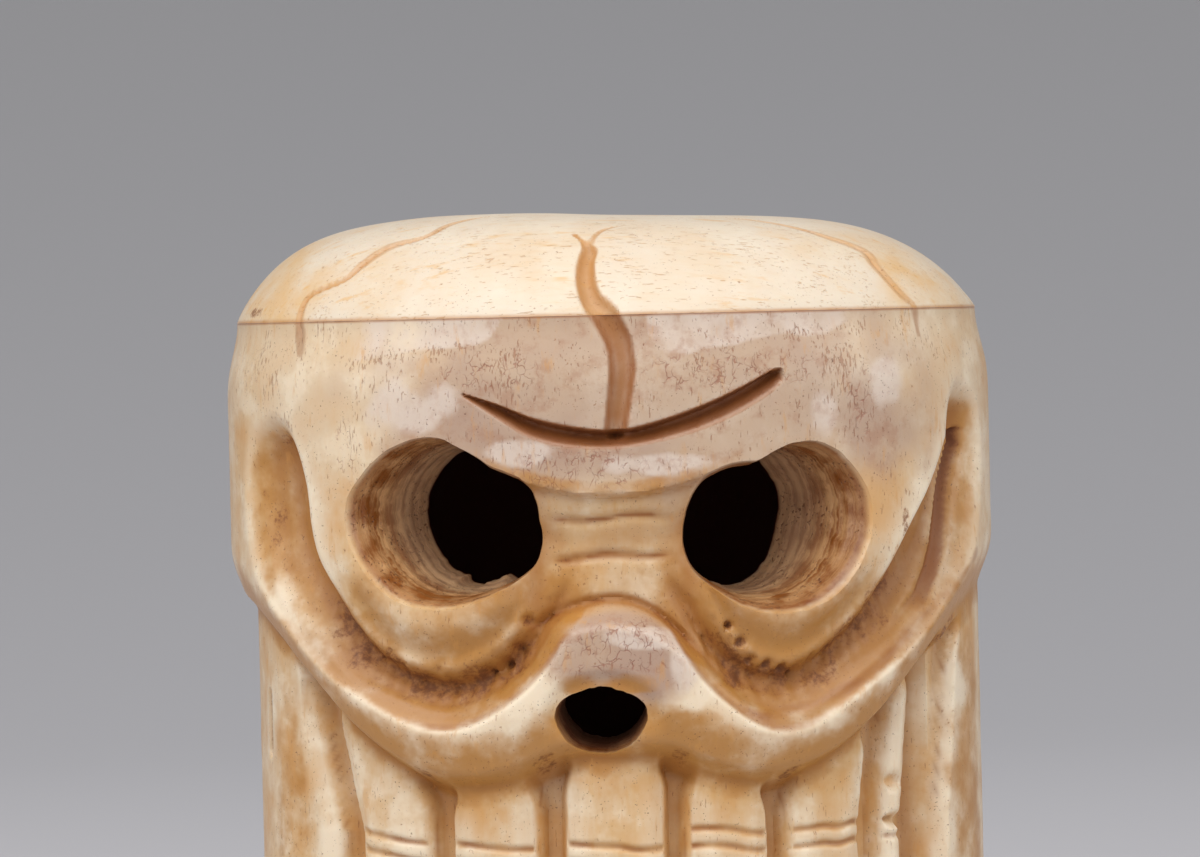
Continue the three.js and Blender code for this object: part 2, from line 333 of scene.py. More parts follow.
def note(piece: bpy.types.Object, name: str, values: Array) -> None:
    """Keep one value for each vertex as an attribute that the finish reads."""
    kept = piece.data.attributes.new(name, "FLOAT", "POINT")
    kept.data.foreach_set("value", values.astype(np.float32))


def report(piece: bpy.types.Object) -> None:
    """Log the piece's triangles: a face of n corners makes n less two."""
    log.info("%s: %d triangles", piece.name, len(piece.data.loops) - 2 * len(piece.data.polygons))


def smooth(piece: bpy.types.Object, crisp: float) -> None:
    """Shade the piece smooth, with edges sharper than an angle in degrees left crisp."""
    piece.data.polygons.foreach_set("use_smooth", np.ones(len(piece.data.polygons), bool))
    piece.data.set_sharp_from_angle(angle=math.radians(crisp))


@dataclass
class Tube:
    """The hollow length of bone: a rounded-square outline outside and a plain marrow cavity inside."""

    half_width: float
    half_depth: float
    height: float
    side_wall: float = 4.2
    front_wall: float = 4.1
    squareness: float = 2.4
    joint_inset: float = 0.45
    joint_rounding: float = 3.6
    girth_steps: int = 1440
    angles: Array = field(init=False)
    lengths: Array = field(init=False)

    def __post_init__(self) -> None:
        """Measure half the girth step by step, from the front round to the back."""
        self.angles = np.linspace(0.0, math.pi, self.girth_steps + 1)
        places = self.heading(self.angles) * self.outline(self.angles)[:, None]
        runs = np.linalg.norm(np.diff(places, axis=0), axis=1)
        self.lengths = np.concatenate([[0.0], np.cumsum(runs)])

    @property
    def half_girth(self) -> float:
        """Length along the outline from the front to the back."""
        return float(self.lengths[-1])

    def heading(self, angle: Array) -> Array:
        """Level direction at an angle from the front: its sine along X and less its cosine along Y."""
        return np.stack([np.sin(angle), -np.cos(angle), np.zeros_like(angle)], axis=-1)

    def superellipse(self, angle: Array, across: float, deep: float) -> Array:
        """Distance from the axis to a rounded square: the shares along X and Y, each to the power of the
        squareness, add up to one."""
        side = np.abs(np.sin(angle) / across) ** self.squareness
        front = np.abs(np.cos(angle) / deep) ** self.squareness
        return (side + front) ** (-1.0 / self.squareness)

    def outline(self, angle: Array) -> Array:
        """Distance from the axis to the uncarved outside."""
        return self.superellipse(angle, self.half_width, self.half_depth)

    def cavity(self, angle: Array) -> Array:
        """Distance from the axis to the wall of the marrow cavity."""
        return self.superellipse(angle, self.half_width - self.side_wall, self.half_depth - self.front_wall)

    def angle_at(self, u: Array) -> Array:
        """Angle from the front at a length along the girth."""
        return np.sign(u) * np.interp(np.abs(u), self.lengths, self.angles)

    def girth_at(self, angle: Array) -> Array:
        """Length along the girth at an angle from the front."""
        return np.sign(angle) * np.interp(np.abs(angle), self.angles, self.lengths)

    def rim(self, z: Array) -> Array:
        """Rounding towards the joint: the square of a rise."""
        return self.joint_inset * rise(self.height - self.joint_rounding, self.height, z) ** 2

    def point(self, u: Array, z: Array, depth: Array) -> Array:
        """Place in space of a point that lies a depth below the uncarved outside.

        Args:
            u: Lengths along the girth.
            z: Heights.
            depth: Depths towards the axis.

        Returns:
            Points, the coordinates last.
        """
        u, z, depth = np.broadcast_arrays(u, z, depth)
        angle = self.angle_at(u)
        made = self.heading(angle) * (self.outline(angle) - depth)[..., None]
        made[..., 2] = z
        return made

    def unrolled(self, points: Array) -> tuple[Array, Array, Array]:
        """Length along the girth, height, and depth below the uncarved outside, of points in space."""
        angle = np.arctan2(points[..., 0], -points[..., 1])
        reach = np.hypot(points[..., 0], points[..., 1])
        return self.girth_at(angle), points[..., 2], self.outline(angle) - reach


@dataclass
class Dome:
    """The cap's uncarved shape: a low dome over the outline of the tube."""

    tube: Tube
    rise_above: float
    glue_line: float = 0.05
    edge: float = 4.8
    crown: float = 1.15
    fuller: float = 1.0
    left_shoulder: Floats = (-13.0, -7.0)
    lower: float = 0.07
    lower_towards: Floats = (-6.0, 5.0)

    def high(self, share: Array, edge: Array | float) -> Array:
        """Height above the edge: one less a high power of the share, to a power near one."""
        return self.rise_above * np.clip(1.0 - share**edge, 0.0, 1.0) ** (1.0 / self.crown)

    def share_at(self, climb: Array) -> Array:
        """Share of the way from the crown to the edge, at a length climbed along the dome from its edge."""
        share = np.linspace(1.0, 0.0, 800)
        reach = share * ((self.tube.half_width + self.tube.half_depth) / 2.0 - self.tube.joint_inset)
        runs = np.hypot(np.diff(reach), np.diff(self.high(share, self.edge)))
        return np.interp(climb, np.concatenate([[0.0], np.cumsum(runs)]), share)

    def point(self, angle: Array, share: Array) -> Array:
        """Place on the dome, which is fuller at its left shoulder and a little lower towards the right.

        Args:
            angle: Angles from the front.
            share: Shares of the way from the crown out to the edge.

        Returns:
            Points, the coordinates last.
        """
        angle, share = np.broadcast_arrays(angle, share)
        reach = share * (self.tube.outline(angle) - self.tube.joint_inset)
        made = self.tube.heading(angle) * reach[..., None]
        edge = self.edge + self.fuller * fall(*self.left_shoulder, made[..., 0])
        level = 1.0 - self.lower * rise(*self.lower_towards, made[..., 0])
        made[..., 2] = self.tube.height + self.glue_line + self.high(share, edge) * level
        return made


@dataclass
class CheekChannel:
    """The channel that curls round each socket's collar from beside the nose up to the temple.

    Bearings are degrees about the socket's middle, 0 straight down and 90 outwards. The collar and the crest
    are reaches from that middle at each of the bearings.
    """

    socket_u: float = 6.53
    socket_z: float = 20.27
    carved: float = 1.35
    wall_run: float = 1.1
    wall_shares: Floats = (0.18, 0.45)
    bearings: Floats = (-45, -20, 0, 30, 60, 85, 110)
    collar: dict[Side, Floats] = field(default_factory=lambda: {
        Side.LEFT: (4.2, 4.75, 5.1, 5.1, 5.05, 5.45, 5.9),
        Side.RIGHT: (3.7, 4.6, 5.1, 4.7, 4.8, 5.5, 7.9),
    })
    crest: dict[Side, Floats] = field(default_factory=lambda: {
        Side.LEFT: (6.5, 7.3, 7.85, 7.6, 8.6, 10.1, 10.75),
        Side.RIGHT: (6.05, 7.3, 8.2, 7.5, 8.65, 10.65, 12.1),
    })
    nose_end: Floats = (-88.0, -50.0)
    temple: Floats = (50.0, 95.0)
    temple_run: float = 14.0
    temple_end: float = 121.0
    temple_round: float = 15.0
    flatter: float = 0.35
    band_depth: float = 0.03
    bands: float = 5.0
    crease_at: float = 0.92
    crease_half: float = 0.11
    crease_from: Floats = (-66.0, -40.0)
    crease_to: Floats = (2.0, 26.0)
    crease_depth: float = 0.08
    nick_pitch: float = 0.72
    nick_depth: float = 0.05
    nicks_from: Floats = (-45.0, -25.0)
    nicks_to: Floats = (55.0, 85.0)
    deep_pits: Ovals = (
        (-3.5, 16.6, 0.34), (-3.95, 15.6, 0.36), (-4.4, 14.95, 0.3), (-5.1, 14.7, 0.24), (4.55, 16.25, 0.26),
        (5.05, 15.6, 0.36), (5.5, 14.95, 0.3), (6.15, 14.75, 0.32), (6.8, 14.6, 0.26), (7.35, 14.4, 0.2),
    )
    strung_pits: tuple[tuple[Side, float, float, int], ...] = (
        (Side.LEFT, -52.0, 66.0, 26), (Side.RIGHT, -40.0, 30.0, 15),
    )
    pit_reach: float = 5.2
    pit_stretch: float = 2.4
    lip_depth: float = 0.6
    lip_from: float = 3.4
    pit_depth: float = 0.3
    slot_u: Floats = (16.8, 16.7, 16.1, 15.6, 15.0, 14.35, 13.5, 12.6, 11.7)
    slot_z: Floats = (23.25, 22.65, 21.4, 20.1, 18.85, 17.95, 17.0, 16.4, 15.6)
    slot_width: float = 0.44
    slot_depth: float = 0.45

    def place(self, u: Array, z: Array) -> Pair:
        """Bearing about the socket, 0 straight down and 90 outwards, and the share of the way from the
        collar's edge to the crest of the ridge."""
        out = np.abs(u) - self.socket_u
        down = self.socket_z - z
        bearing = np.degrees(np.arctan2(out, down))
        inner, outer = self.edges(u, bearing)
        return bearing, (np.hypot(out, down) - inner) / (outer - inner)

    def edges(self, u: Array, bearing: Array) -> Pair:
        """Reach of the collar's edge and of the ridge's crest from the socket, at a bearing."""
        inner, outer = (
            np.where(u < 0, through(self.bearings, edge[Side.LEFT], bearing),
                     through(self.bearings, edge[Side.RIGHT], bearing))
            for edge in (self.collar, self.crest)
        )
        return inner, outer

    def wall(self, u: Array, bearing: Array) -> Array:
        """Share of the way in which the channel's wall drops from the collar to its floor."""
        inner, outer = self.edges(u, bearing)
        return np.clip(self.wall_run / (outer - inner), *self.wall_shares)

    def ends(self, bearing: Array, place: Array) -> Array:
        """How fully the channel is cut: nothing past its ends beside the nose and, rounded, at the temple."""
        last = self.temple_end - self.temple_round * np.clip(2.0 * place - 1.0, -1.0, 1.0) ** 2
        return rise(*self.nose_end, bearing) * fall(last - self.temple_run, last, bearing)

    def depth(self, u: Array, z: Array) -> Array:
        """Depth of the channel: a steep rise off the collar, then a long slope up to the crest, with the
        marks of the gouge as a fine wave along it and a scored line under the crest."""
        bearing, place = self.place(u, z)
        foot = self.wall(u, bearing)
        level = 1.0 - self.flatter * rise(*self.temple, bearing)
        slope = np.clip((1.0 - place) / (1.0 - foot) / level, 0.0, 1.0)
        section = rise(0.0, foot, place) * (0.5 * slope + 0.5 * rise(0.0, 1.0, slope))
        sloped = rise(0.3, 0.6, place) * fall(0.85, 1.0, place)
        wave = np.sin(place * self.bands * 2.0 * math.pi + 2.0 * uneven(u, z, 2.5, 3))
        crease = self.crease(bearing, place)
        reach = np.hypot(np.abs(u) - self.socket_u, self.socket_z - z)
        edge = reach - place * self.pit_stretch
        lip = rise(self.lip_from, np.maximum(edge, self.lip_from + 0.4), reach) * fall(0.0, foot, place)
        lip = self.lip_depth * lip**2 * fall(40.0, 80.0, bearing) * (1.0 - section)
        along = np.radians(bearing) * reach
        nicks = np.sin(2.0 * math.pi * along / self.nick_pitch + 1.5 * uneven(u, z, 1.2, 6))
        at_foot = fall(0.1, 0.9, np.abs(place / foot - 1.0))
        at_foot = at_foot * rise(*self.nicks_from, bearing) * fall(*self.nicks_to, bearing)
        cut_in = self.carved * section + lip + self.band_depth * wave * sloped + self.crease_depth * crease
        return (cut_in + self.nick_depth * nicks * at_foot) * self.ends(bearing, place)

    def crease(self, bearing: Array, place: Array) -> Array:
        """The scored line just inside the crest of the ridge."""
        line = fall(0.0, self.crease_half, np.abs(place - self.crease_at))
        return line * rise(*self.crease_from, bearing) * fall(*self.crease_to, bearing)

    def slot(self, u: Array, z: Array) -> Pair:
        """The slit down the right channel: its round section, from 0 to 1, and the share of the way down."""
        gap, along = along_path(self.slot_u, self.slot_z, u, z)
        half = self.slot_width * (0.5 + 0.22 * rise(0.0, 0.5, along))
        return np.clip(1.0 - (gap / half) ** 2, 0.0, 1.0), along

    def pits(self, u: Array, z: Array) -> Array:
        """Small round pits along the foot of the collar: the deeper ones at their own places, the rest
        strung out at seeded places."""
        bearing, place = self.place(u, z)
        made = np.zeros_like(place)
        draws = np.random.default_rng(11)
        for side, start, end, count in self.strung_pits:
            for k in range(count):
                at = start + (end - start) * (k + draws.uniform(-0.3, 0.3)) / count
                off = draws.uniform(0.12, 0.46)
                size = draws.uniform(0.13, 0.3)
                reach = self.pit_reach + self.pit_stretch * off
                gap = np.hypot(np.radians(bearing - at) * reach, (place - off) * self.pit_stretch)
                here = fall(0.1 * size, size, gap) * (np.sign(u) == side.value)
                made = np.maximum(made, here * draws.uniform(0.2, 0.6))
        for at_u, at_z, size in self.deep_pits:
            made = np.maximum(made, fall(0.2 * size, size, np.hypot(u - at_u, z - at_z)))
        return self.pit_depth * made


@dataclass
class JawAndTeeth:
    """The step under the cheek ridges, the teeth between straight grooves, and the lines of the mouth."""

    sunk: float = 1.35
    side_band: float = 0.58
    left_band: float = 0.35
    left_edge: Floats = (-16.5, -14.0)
    sides_end: Floats = (24.6, 38.0)
    back_slot: float = -17.6
    back_slot_depth: float = 0.9
    back_slot_foot: Floats = (11.1, 11.5)
    back_slot_top: Floats = (13.5, 13.9)
    notches_u: float = 12.75
    notches_z: Floats = (8.45, 9.95)
    notch_depth: float = 0.3
    chin: float = 0.55
    chin_z: float = 2.8
    roll: float = 0.62
    roll_run: float = 2.3
    foot_u: Floats = (0.0, 2.24, 4.48, 6.5, 8.5, 10.74, 12.98, 15.44, 17.9, 22.38)
    foot_z: Floats = (11.7, 11.7, 10.86, 10.7, 11.2, 12.54, 14.39, 16.1, 17.05, 17.39)
    grooves: Floats = (-12.2, -7.77, -2.91, 2.57, 7.03, 11.5, 13.99)
    groove_widths: Floats = (1.43, 1.2, 1.35, 1.05, 1.1, 1.35, 1.7)
    slants: Floats = (-0.3, -0.08, -0.03, 0.02, 0.06, 0.12, 0.16)
    slant_from: float = 8.5
    groove_depth: float = 0.8
    corner: float = 0.36
    row_end: float = 14.77
    mouth_u: Floats = (-11.3, -8.5, -7.0, -3.6, -2.1, 2.0, 3.2, 6.4, 7.6, 10.7, 12.9)
    mouth_z: Floats = (8.55, 8.1, 8.1, 7.85, 8.05, 7.85, 8.5, 8.3, 8.35, 8.5, 8.5)
    mouth_gap: float = 0.65
    mouth_depth: float = 0.13
    mouth_half: float = 0.22
    mouth_left: Floats = (-11.6, -11.3)
    mouth_right: Floats = (12.9, 13.2)
    pillow: float = 0.24
    pillow_run: float = 1.1

    def foot(self, u: Array) -> Array:
        """Height of the ridge's foot."""
        return through(self.foot_u, self.foot_z, np.abs(u))

    def sides(self, u: Array) -> Array:
        """How far the carving reaches round the sides."""
        return fall(*self.sides_end, np.abs(u))

    def jaw(self, u: Array, z: Array) -> Array:
        """Depth of the jaw behind the ridges: a step at the foot, a roll above it, less at either side and
        at the chin."""
        foot = self.foot(u)
        step = fall(foot - 0.55, foot + 0.25, z)
        roll = fall(foot - 0.4, foot + self.roll_run, z) ** 1.6 * (1.0 - step)
        sunk = self.sunk + (self.side_band - self.sunk) * rise(self.row_end - 0.5, self.row_end, u)
        sunk = sunk - self.left_band * fall(*self.left_edge, u)
        chin = fall(self.chin_z - 0.8, self.chin_z, z)
        behind = sunk + (np.minimum(sunk, self.chin) - sunk) * chin
        return self.sides(u) * (step * behind + roll * self.roll)

    def reach(self, u: Array, z: Array) -> Array:
        """Where the teeth show: below the ridges and above the chin."""
        foot = self.foot(u)
        return fall(foot - 1.1, foot - 0.2, z) * rise(self.chin_z - 0.3, self.chin_z + 0.7, z)

    def beside(self, u: Array, z: Array) -> Array:
        """Distance from the nearest groove's edge, negative inside it. The outer grooves lean outwards."""
        up = np.clip(z - self.slant_from, 0.0, None)
        gaps = [np.abs(u - at - slant * up) - width / 2.0
                for at, width, slant in zip(self.grooves, self.groove_widths, self.slants)]
        return np.min(gaps, axis=0)

    def teeth(self, u: Array, z: Array) -> Array:
        """Flat grooves between the teeth, whose faces swell towards their middles."""
        foot = self.foot(u)
        drift = 0.07 * uneven(u, z, 1.6, 5) - self.corner * rise(foot - 2.2, foot - 0.5, z) ** 2
        edge = self.beside(u, z) + drift
        worn = fall(0.0, self.pillow_run, edge) ** 2 * (np.abs(u) < self.row_end)
        return self.reach(u, z) * (self.groove_depth * fall(-0.36, 0.12, edge) + self.pillow * worn)

    def mouth(self, u: Array, z: Array) -> Array:
        """Two scored lines across the faces of the teeth."""
        line = through(self.mouth_u, self.mouth_z, u) + 0.05 * uneven(u, 0.0 * u, 0.8, 14)
        gap = np.minimum(np.abs(z - line), np.abs(z - line + self.mouth_gap))
        faces = rise(0.0, 0.15, self.beside(u, z)) * rise(*self.mouth_left, u) * fall(*self.mouth_right, u)
        return self.mouth_depth * faces * fall(0.1 * self.mouth_half, self.mouth_half, gap)

    def outlines(self, u: Array, z: Array) -> Array:
        """The thin brown lines down the walls of the grooves, from 0 to 1."""
        broken = rise(-0.5, 0.3, uneven(u, z, 0.9, 8))
        return fall(0.0, 0.13, np.abs(self.beside(u, z) + 0.12)) * self.reach(u, z) * broken

    def notches(self, u: Array, z: Array) -> Array:
        """Two nicks in the last narrow tooth on the right, and the slot behind the jaw on the left."""
        made = np.zeros(np.broadcast(u, z).shape)
        for at_z in self.notches_z:
            gap = np.hypot((u - self.notches_u) * 0.7, z - at_z)
            made = made + self.notch_depth * fall(0.1, 0.45, gap)
        return made + self.back_slot_depth * self.behind(u, z, 0.1, 0.25)

    def behind(self, u: Array, z: Array, near: float, far: float) -> Array:
        """The slot behind the jaw on the left: 1 within the near distance of its line, 0 past the far one."""
        line = fall(near, far, np.abs(u - self.back_slot))
        return line * rise(*self.back_slot_foot, z) * fall(*self.back_slot_top, z)


@dataclass
class BrowAndNose:
    """The brow's ledge, the saddle of the nose under it, its wrinkles, and the frown cut over the brow."""

    brow_z: float = 21.35
    brow_rise: float = 0.05
    ledge: float = 0.45
    saddle: float = 0.7
    saddle_run: float = 2.2
    arch_z: float = 17.35
    arch_fall: dict[Side, float] = field(default_factory=lambda: {Side.LEFT: 0.09, Side.RIGHT: 0.17})
    side_from: float = 2.9
    side_to: float = 4.5
    frown_u: Floats = (-5.62, -4.1, -2.82, -1.2, 0.38, 2.0, 3.54, 5.1, 6.72)
    frown_z: Floats = (25.2, 24.45, 23.83, 23.47, 23.39, 23.68, 24.14, 24.8, 25.7)
    frown_at: Floats = (0.0, 0.12, 0.27, 0.5, 0.75, 0.96, 1.0)
    frown_half: Floats = (0.06, 0.28, 0.42, 0.37, 0.45, 0.38, 0.2)
    frown_depth: float = 0.6
    wrinkles_z: Floats = (20.42, 18.95)
    wrinkle_depth: float = 0.16
    hollow_depth: float = 0.3
    hollow: Floats = (-0.45, 12.9, 2.3, 1.75)
    hollow_foot: Floats = (12.0, 13.0)

    def arch(self, u: Array) -> Array:
        """Height of the arched crease over the nose, which falls away with the square of u."""
        fallen = np.where(u < 0, self.arch_fall[Side.LEFT], self.arch_fall[Side.RIGHT])
        return self.arch_z - fallen * u**2

    def bridge(self, u: Array, z: Array) -> Array:
        """A crisp ledge under the brow, then a saddle that runs out on the shoulder of the nose."""
        brow = self.brow_z + self.brow_rise * u**2
        arch = self.arch(u)
        ledge = self.ledge * fall(brow - 0.24, brow, z)
        saddle = self.saddle * fall(brow - self.saddle_run, brow - 0.1, z)
        over_nose = rise(arch - 1.2, arch + 0.05, z)
        return fall(self.side_from, self.side_to, np.abs(u)) * over_nose * (ledge + saddle)

    def folds(self, u: Array, z: Array, half: float, start: float, end: float) -> Array:
        """The two wavy lines of the wrinkles, of a half width, running out between two distances from the
        middle of the face."""
        made = np.zeros(np.broadcast(u, z).shape)
        for k, at_z in enumerate(self.wrinkles_z):
            line = at_z + 0.08 * np.sin(1.7 * u + 2.0 * k) + 0.02 * u
            made = made + fall(0.02, half, np.abs(z - line)) * fall(start, end, np.abs(u))
        return made

    def wrinkles(self, u: Array, z: Array) -> Array:
        """Two soft folds across the saddle, and the scored arch over the nose."""
        made = self.folds(u, z, 0.32, 1.5, 2.8)
        arch = fall(0.03, 0.3, np.abs(z - self.arch(u))) * fall(2.6, 4.2, np.abs(u))
        return self.wrinkle_depth * (made + arch)

    def lines(self, u: Array, z: Array) -> Array:
        """The thin dark lines in the wrinkles and in the arch, broken here and there, from 0 to 1."""
        made = fall(0.03, 0.16, np.abs(z - self.arch(u) + 0.05)) * fall(2.8, 4.2, np.abs(u))
        made = made + self.folds(u, z, 0.13, 1.9, 2.7)
        return np.clip(made, 0.0, 1.0) * (0.35 + 0.65 * rise(-0.4, 0.3, uneven(u, z, 0.7, 18)))

    def nose_hollow(self, u: Array, z: Array) -> Array:
        """A hollow round the top of the nose hole, under the nose's rounded end."""
        round_hole = ovals((self.hollow,), u, z, 0.0, 0.75, 1.12)
        return self.hollow_depth * round_hole * rise(*self.hollow_foot, z)

    def frown(self, u: Array, z: Array) -> Pair:
        """The crescent over the brow: a long lower wall and a steep upper one, pointed at its left end.

        Args:
            u: Lengths along the girth.
            z: Heights.

        Returns:
            Its depth, and how much of it is there, from 0 to 1.
        """
        share = (u - self.frown_u[0]) / (self.frown_u[-1] - self.frown_u[0])
        half = through(self.frown_at, self.frown_half, share) * (share > 0.0) * (share < 1.0) + 1e-6
        middle = through(self.frown_u, self.frown_z, u)
        slope = np.gradient(np.asarray(self.frown_z), np.asarray(self.frown_u))
        lean = np.cos(np.arctan(np.interp(u, self.frown_u, slope)))
        across = (z - middle) * lean / half
        inside = rise(-1.0, 0.35, across) * fall(0.4, 1.0, across)
        stained = fall(0.9, 1.15, np.abs(across)) * (0.72 + 0.28 * rise(-0.6, 0.2, across))
        return self.frown_depth * inside * np.clip(half / 0.34, 0.0, 1.0), stained


@dataclass
class Suture:
    """A wandering line cut over the joint, through points on the body's side and on the dome. The climb is
    the length from the joint, up along the dome, or down the body where it is below 0."""

    across: Floats
    climb: Floats
    widths: Floats
    stains: Floats
    depth: float
    full: float = 0.4
    tone: float = 1.0
    stations: int = 120

    def path(self, tube: Tube, dome: Dome) -> Array:
        """Points along the line."""
        keys = list(range(len(self.across)))
        t = np.linspace(0, keys[-1], self.stations)
        u = through(keys, self.across, t)
        climb = through(keys, self.climb, t)
        below = tube.height + np.minimum(climb, 0.0)
        on_body = tube.point(u, below, tube.rim(below))
        on_dome = dome.point(tube.angle_at(u), dome.share_at(np.clip(climb, 0.0, None)))
        return np.where(climb[:, None] < 0.0, on_body, on_dome)

    def marks(self, points: Array, tube: Tube, dome: Dome) -> Pair:
        """How deep the line is cut at each point, and how far it stains the bone round it.

        Args:
            points: Places on the uncarved surface.
            tube: The tube under the line.
            dome: The dome under the line.

        Returns:
            Depths in millimetres, and stains from 0 to 1.
        """
        gap, along = nearest(self.path(tube, dome), points)
        keys = np.linspace(0.0, 1.0, len(self.widths))
        half = through(keys, self.widths, along) / 2.0
        halo = through(keys, self.stains, along) / 2.0
        round_cut = np.clip(1.0 - (gap / half) ** 2, 0.0, 1.0) ** 0.8
        edged = 1.0 - 0.42 * fall(0.25, 0.8, gap / halo) * np.clip(half / 0.3 - 0.4, 0.0, 1.0)
        stained = self.tone * edged * fall(0.6, 1.15, gap / halo)
        return self.depth * round_cut * np.clip(half / self.full, 0.15, 1.0), stained


@dataclass
class Carving:
    """The whole carved surface of the body, as a depth below the uncarved tube."""

    tube: Tube
    dome: Dome
    channel: CheekChannel
    jaw: JawAndTeeth
    brow: BrowAndNose
    sutures: list[Suture]
    tool_marks: float = 0.03

    def depth(self, u: Array, z: Array) -> Array:
        """Depth at each place: the rim, the deepest of the broad forms, and the finer cuts added to them."""
        broad = larger(self.channel.depth(u, z), self.brow.bridge(u, z))
        broad = larger(broad, self.jaw.jaw(u, z))
        fine = self.jaw.teeth(u, z) + self.jaw.mouth(u, z) + self.jaw.notches(u, z)
        fine = fine + self.channel.pits(u, z) + self.brow.wrinkles(u, z) + self.brow.nose_hollow(u, z)
        slit, along = self.channel.slot(u, z)
        shallower = (1.0 - 0.5 * rise(0.05, 0.4, along)) * fall(0.7, 1.0, along)
        fine = fine + self.channel.slot_depth * slit * shallower
        fine = fine + self.brow.frown(u, z)[0]
        plain = self.tube.point(u, z, self.tube.rim(z))
        for suture in self.sutures:
            fine = fine + suture.marks(plain, self.tube, self.dome)[0]
        marks = self.tool_marks * (0.5 + 0.3 * uneven(u, z, 1.9, 1) + 0.2 * uneven(u, z, 0.7, 2))
        return self.tube.rim(z) + broad + fine + marks


@dataclass
class ReliefMap:
    """The carving's depth on an even raster of the unrolled tube, with smoothed copies to tell hollows."""

    carving: Carving
    cell: float = 0.12
    depth: Array = field(init=False)
    us: Array = field(init=False)
    zs: Array = field(init=False)

    def __post_init__(self) -> None:
        """Work out the raster."""
        tube = self.carving.tube
        self.us = np.arange(-tube.half_girth, tube.half_girth, self.cell)
        self.zs = np.arange(0.0, tube.height, self.cell)
        self.depth = self.carving.depth(self.us[:, None], self.zs[None, :])

    def read(self, values: Array, u: Array, z: Array) -> Array:
        """Value of a raster at any place, blended between its four nearest cells."""
        a = np.clip((u - self.us[0]) / self.cell, 0, len(self.us) - 1.001)
        b = np.clip((z - self.zs[0]) / self.cell, 0, len(self.zs) - 1.001)
        i = a.astype(int)
        j = b.astype(int)
        s = a - i
        t = b - j
        near = values[i, j] * (1 - s) + values[i + 1, j] * s
        far = values[i, j + 1] * (1 - s) + values[i + 1, j + 1] * s
        return near * (1 - t) + far * t

    def hollow(self, reach: float) -> Array:
        """How far each cell lies below the mean round it, over a reach in millimetres."""
        return self.depth - blurred(self.depth, max(1, round(reach / self.cell)))


@dataclass
class Piercing:
    """A hole cut right through the wall towards the axis, with gouge rings and a broken inner edge."""

    side: Side
    at_u: float
    at_z: float
    bearings: Floats
    reaches: Floats
    taper_across: float
    taper_up: float
    lift: float = 0.0
    roll: float = 0.3
    roll_reach: float = 0.35
    ring: float = 0.022
    ring_pitch: float = 0.5
    jag: float = 0.5
    sides: int = 150
    step: float = 0.12
    overrun: float = 1.5
    seed: int = 21

    def cutter(self, carving: Carving) -> bpy.types.Object:
        """The solid to cut out: an oval cone whose reach at each bearing and depth is the rim's, with what
        the finish adds to it.

        Args:
            carving: The carved surface that the hole opens in.

        Returns:
            The cutter.
        """
        tube = carving.tube
        axis_angle = tube.angle_at(np.array(self.side.value * self.at_u))
        outside = float(tube.outline(axis_angle))
        wall = outside - float(tube.cavity(axis_angle))
        out = tube.heading(axis_angle)
        depth = np.arange(-0.4, wall + 0.7, self.step)
        depth = np.concatenate([[-self.overrun], depth, [wall + self.overrun]])[:, None]
        turn = np.linspace(-180.0, 180.0, self.sides, endpoint=False)[None, :]
        rim = through(self.bearings, self.reaches, turn)
        away = out * (outside - depth)[..., None]
        plain = self.cone(rim + 0.0 * depth, depth / wall, turn, away, out)
        made = self.cone(rim + self.finish(carving, plain, turn, wall), depth / wall, turn, away, out)
        rows, columns = made.shape[:2]
        ends = np.stack([made[0].mean(axis=0), made[-1].mean(axis=0)])
        points = np.concatenate([made.reshape(-1, 3), ends])
        first = np.arange(columns)
        skin = grid_triangles(made, ring=False)
        start = fan(first[::-1], rows * columns)
        end = fan(first + (rows - 1) * columns, rows * columns + 1)
        return solid_object("cutter", points, np.concatenate([skin, start, end]))

    def cone(self, reach: Array, share: Array, turn: Array, away: Array, out: Array) -> Array:
        """Points of the cone, narrowed by the tapers and raised by the lift on its way in.

        Args:
            reach: Distance from the axis of the hole, a row for each depth and a column for each bearing.
            share: Share of the way through the wall, of each row.
            turn: Bearing of each column.
            away: Places on the axis of the hole.
            out: Level direction from the axis of the tube to the hole.

        Returns:
            Points, the coordinates last.
        """
        spin = np.radians(turn)
        level = self.side.value * np.sin(spin)
        across = reach * level * (1.0 - (1.0 - self.taper_across) * share)
        down = reach * np.cos(spin) * (1.0 - (1.0 - self.taper_up) * share)
        made = away + np.array([-out[1], out[0], 0.0]) * across[..., None]
        made[..., 2] = self.at_z - down + self.lift * share
        return made

    def finish(self, carving: Carving, made: Array, turn: Array, wall: float) -> Array:
        """What the rim's roll, the rings and the broken edge add to the reach at each point.

        Args:
            carving: The carved surface.
            made: The plain cone's points.
            turn: Bearings of its columns.
            wall: Thickness of the wall at the axis of the hole.

        Returns:
            Lengths to add to the reach.
        """
        u, z, sunk = carving.tube.unrolled(made)
        below = sunk - carving.depth(u, z)
        eased = 0.3 + 0.7 * fall(100.0, 150.0, np.abs(turn + 20.0))
        flare = self.roll * eased * np.exp(-np.clip(below, 0.0, None) / self.roll_reach)
        flare = flare + 0.02 * uneven(turn, 0.0 * turn, 5.0, self.seed + 1)
        wobble = 2.5 * uneven(turn, below * 40.0, 40.0, self.seed + 2)
        rings = np.sin(2.0 * math.pi * below / self.ring_pitch + wobble)
        rings = self.ring * rings * rise(0.15, 0.5, below)
        level = 0.0 * turn
        broken = uneven(turn, level, 17.0, self.seed) + 0.3 * uneven(turn, level, 7.0, self.seed + 3)
        drawn_in = self.jag * np.clip(broken, 0.0, None) * rise(wall - 1.3, wall - 0.35, sunk)
        return flare + rings - drawn_in


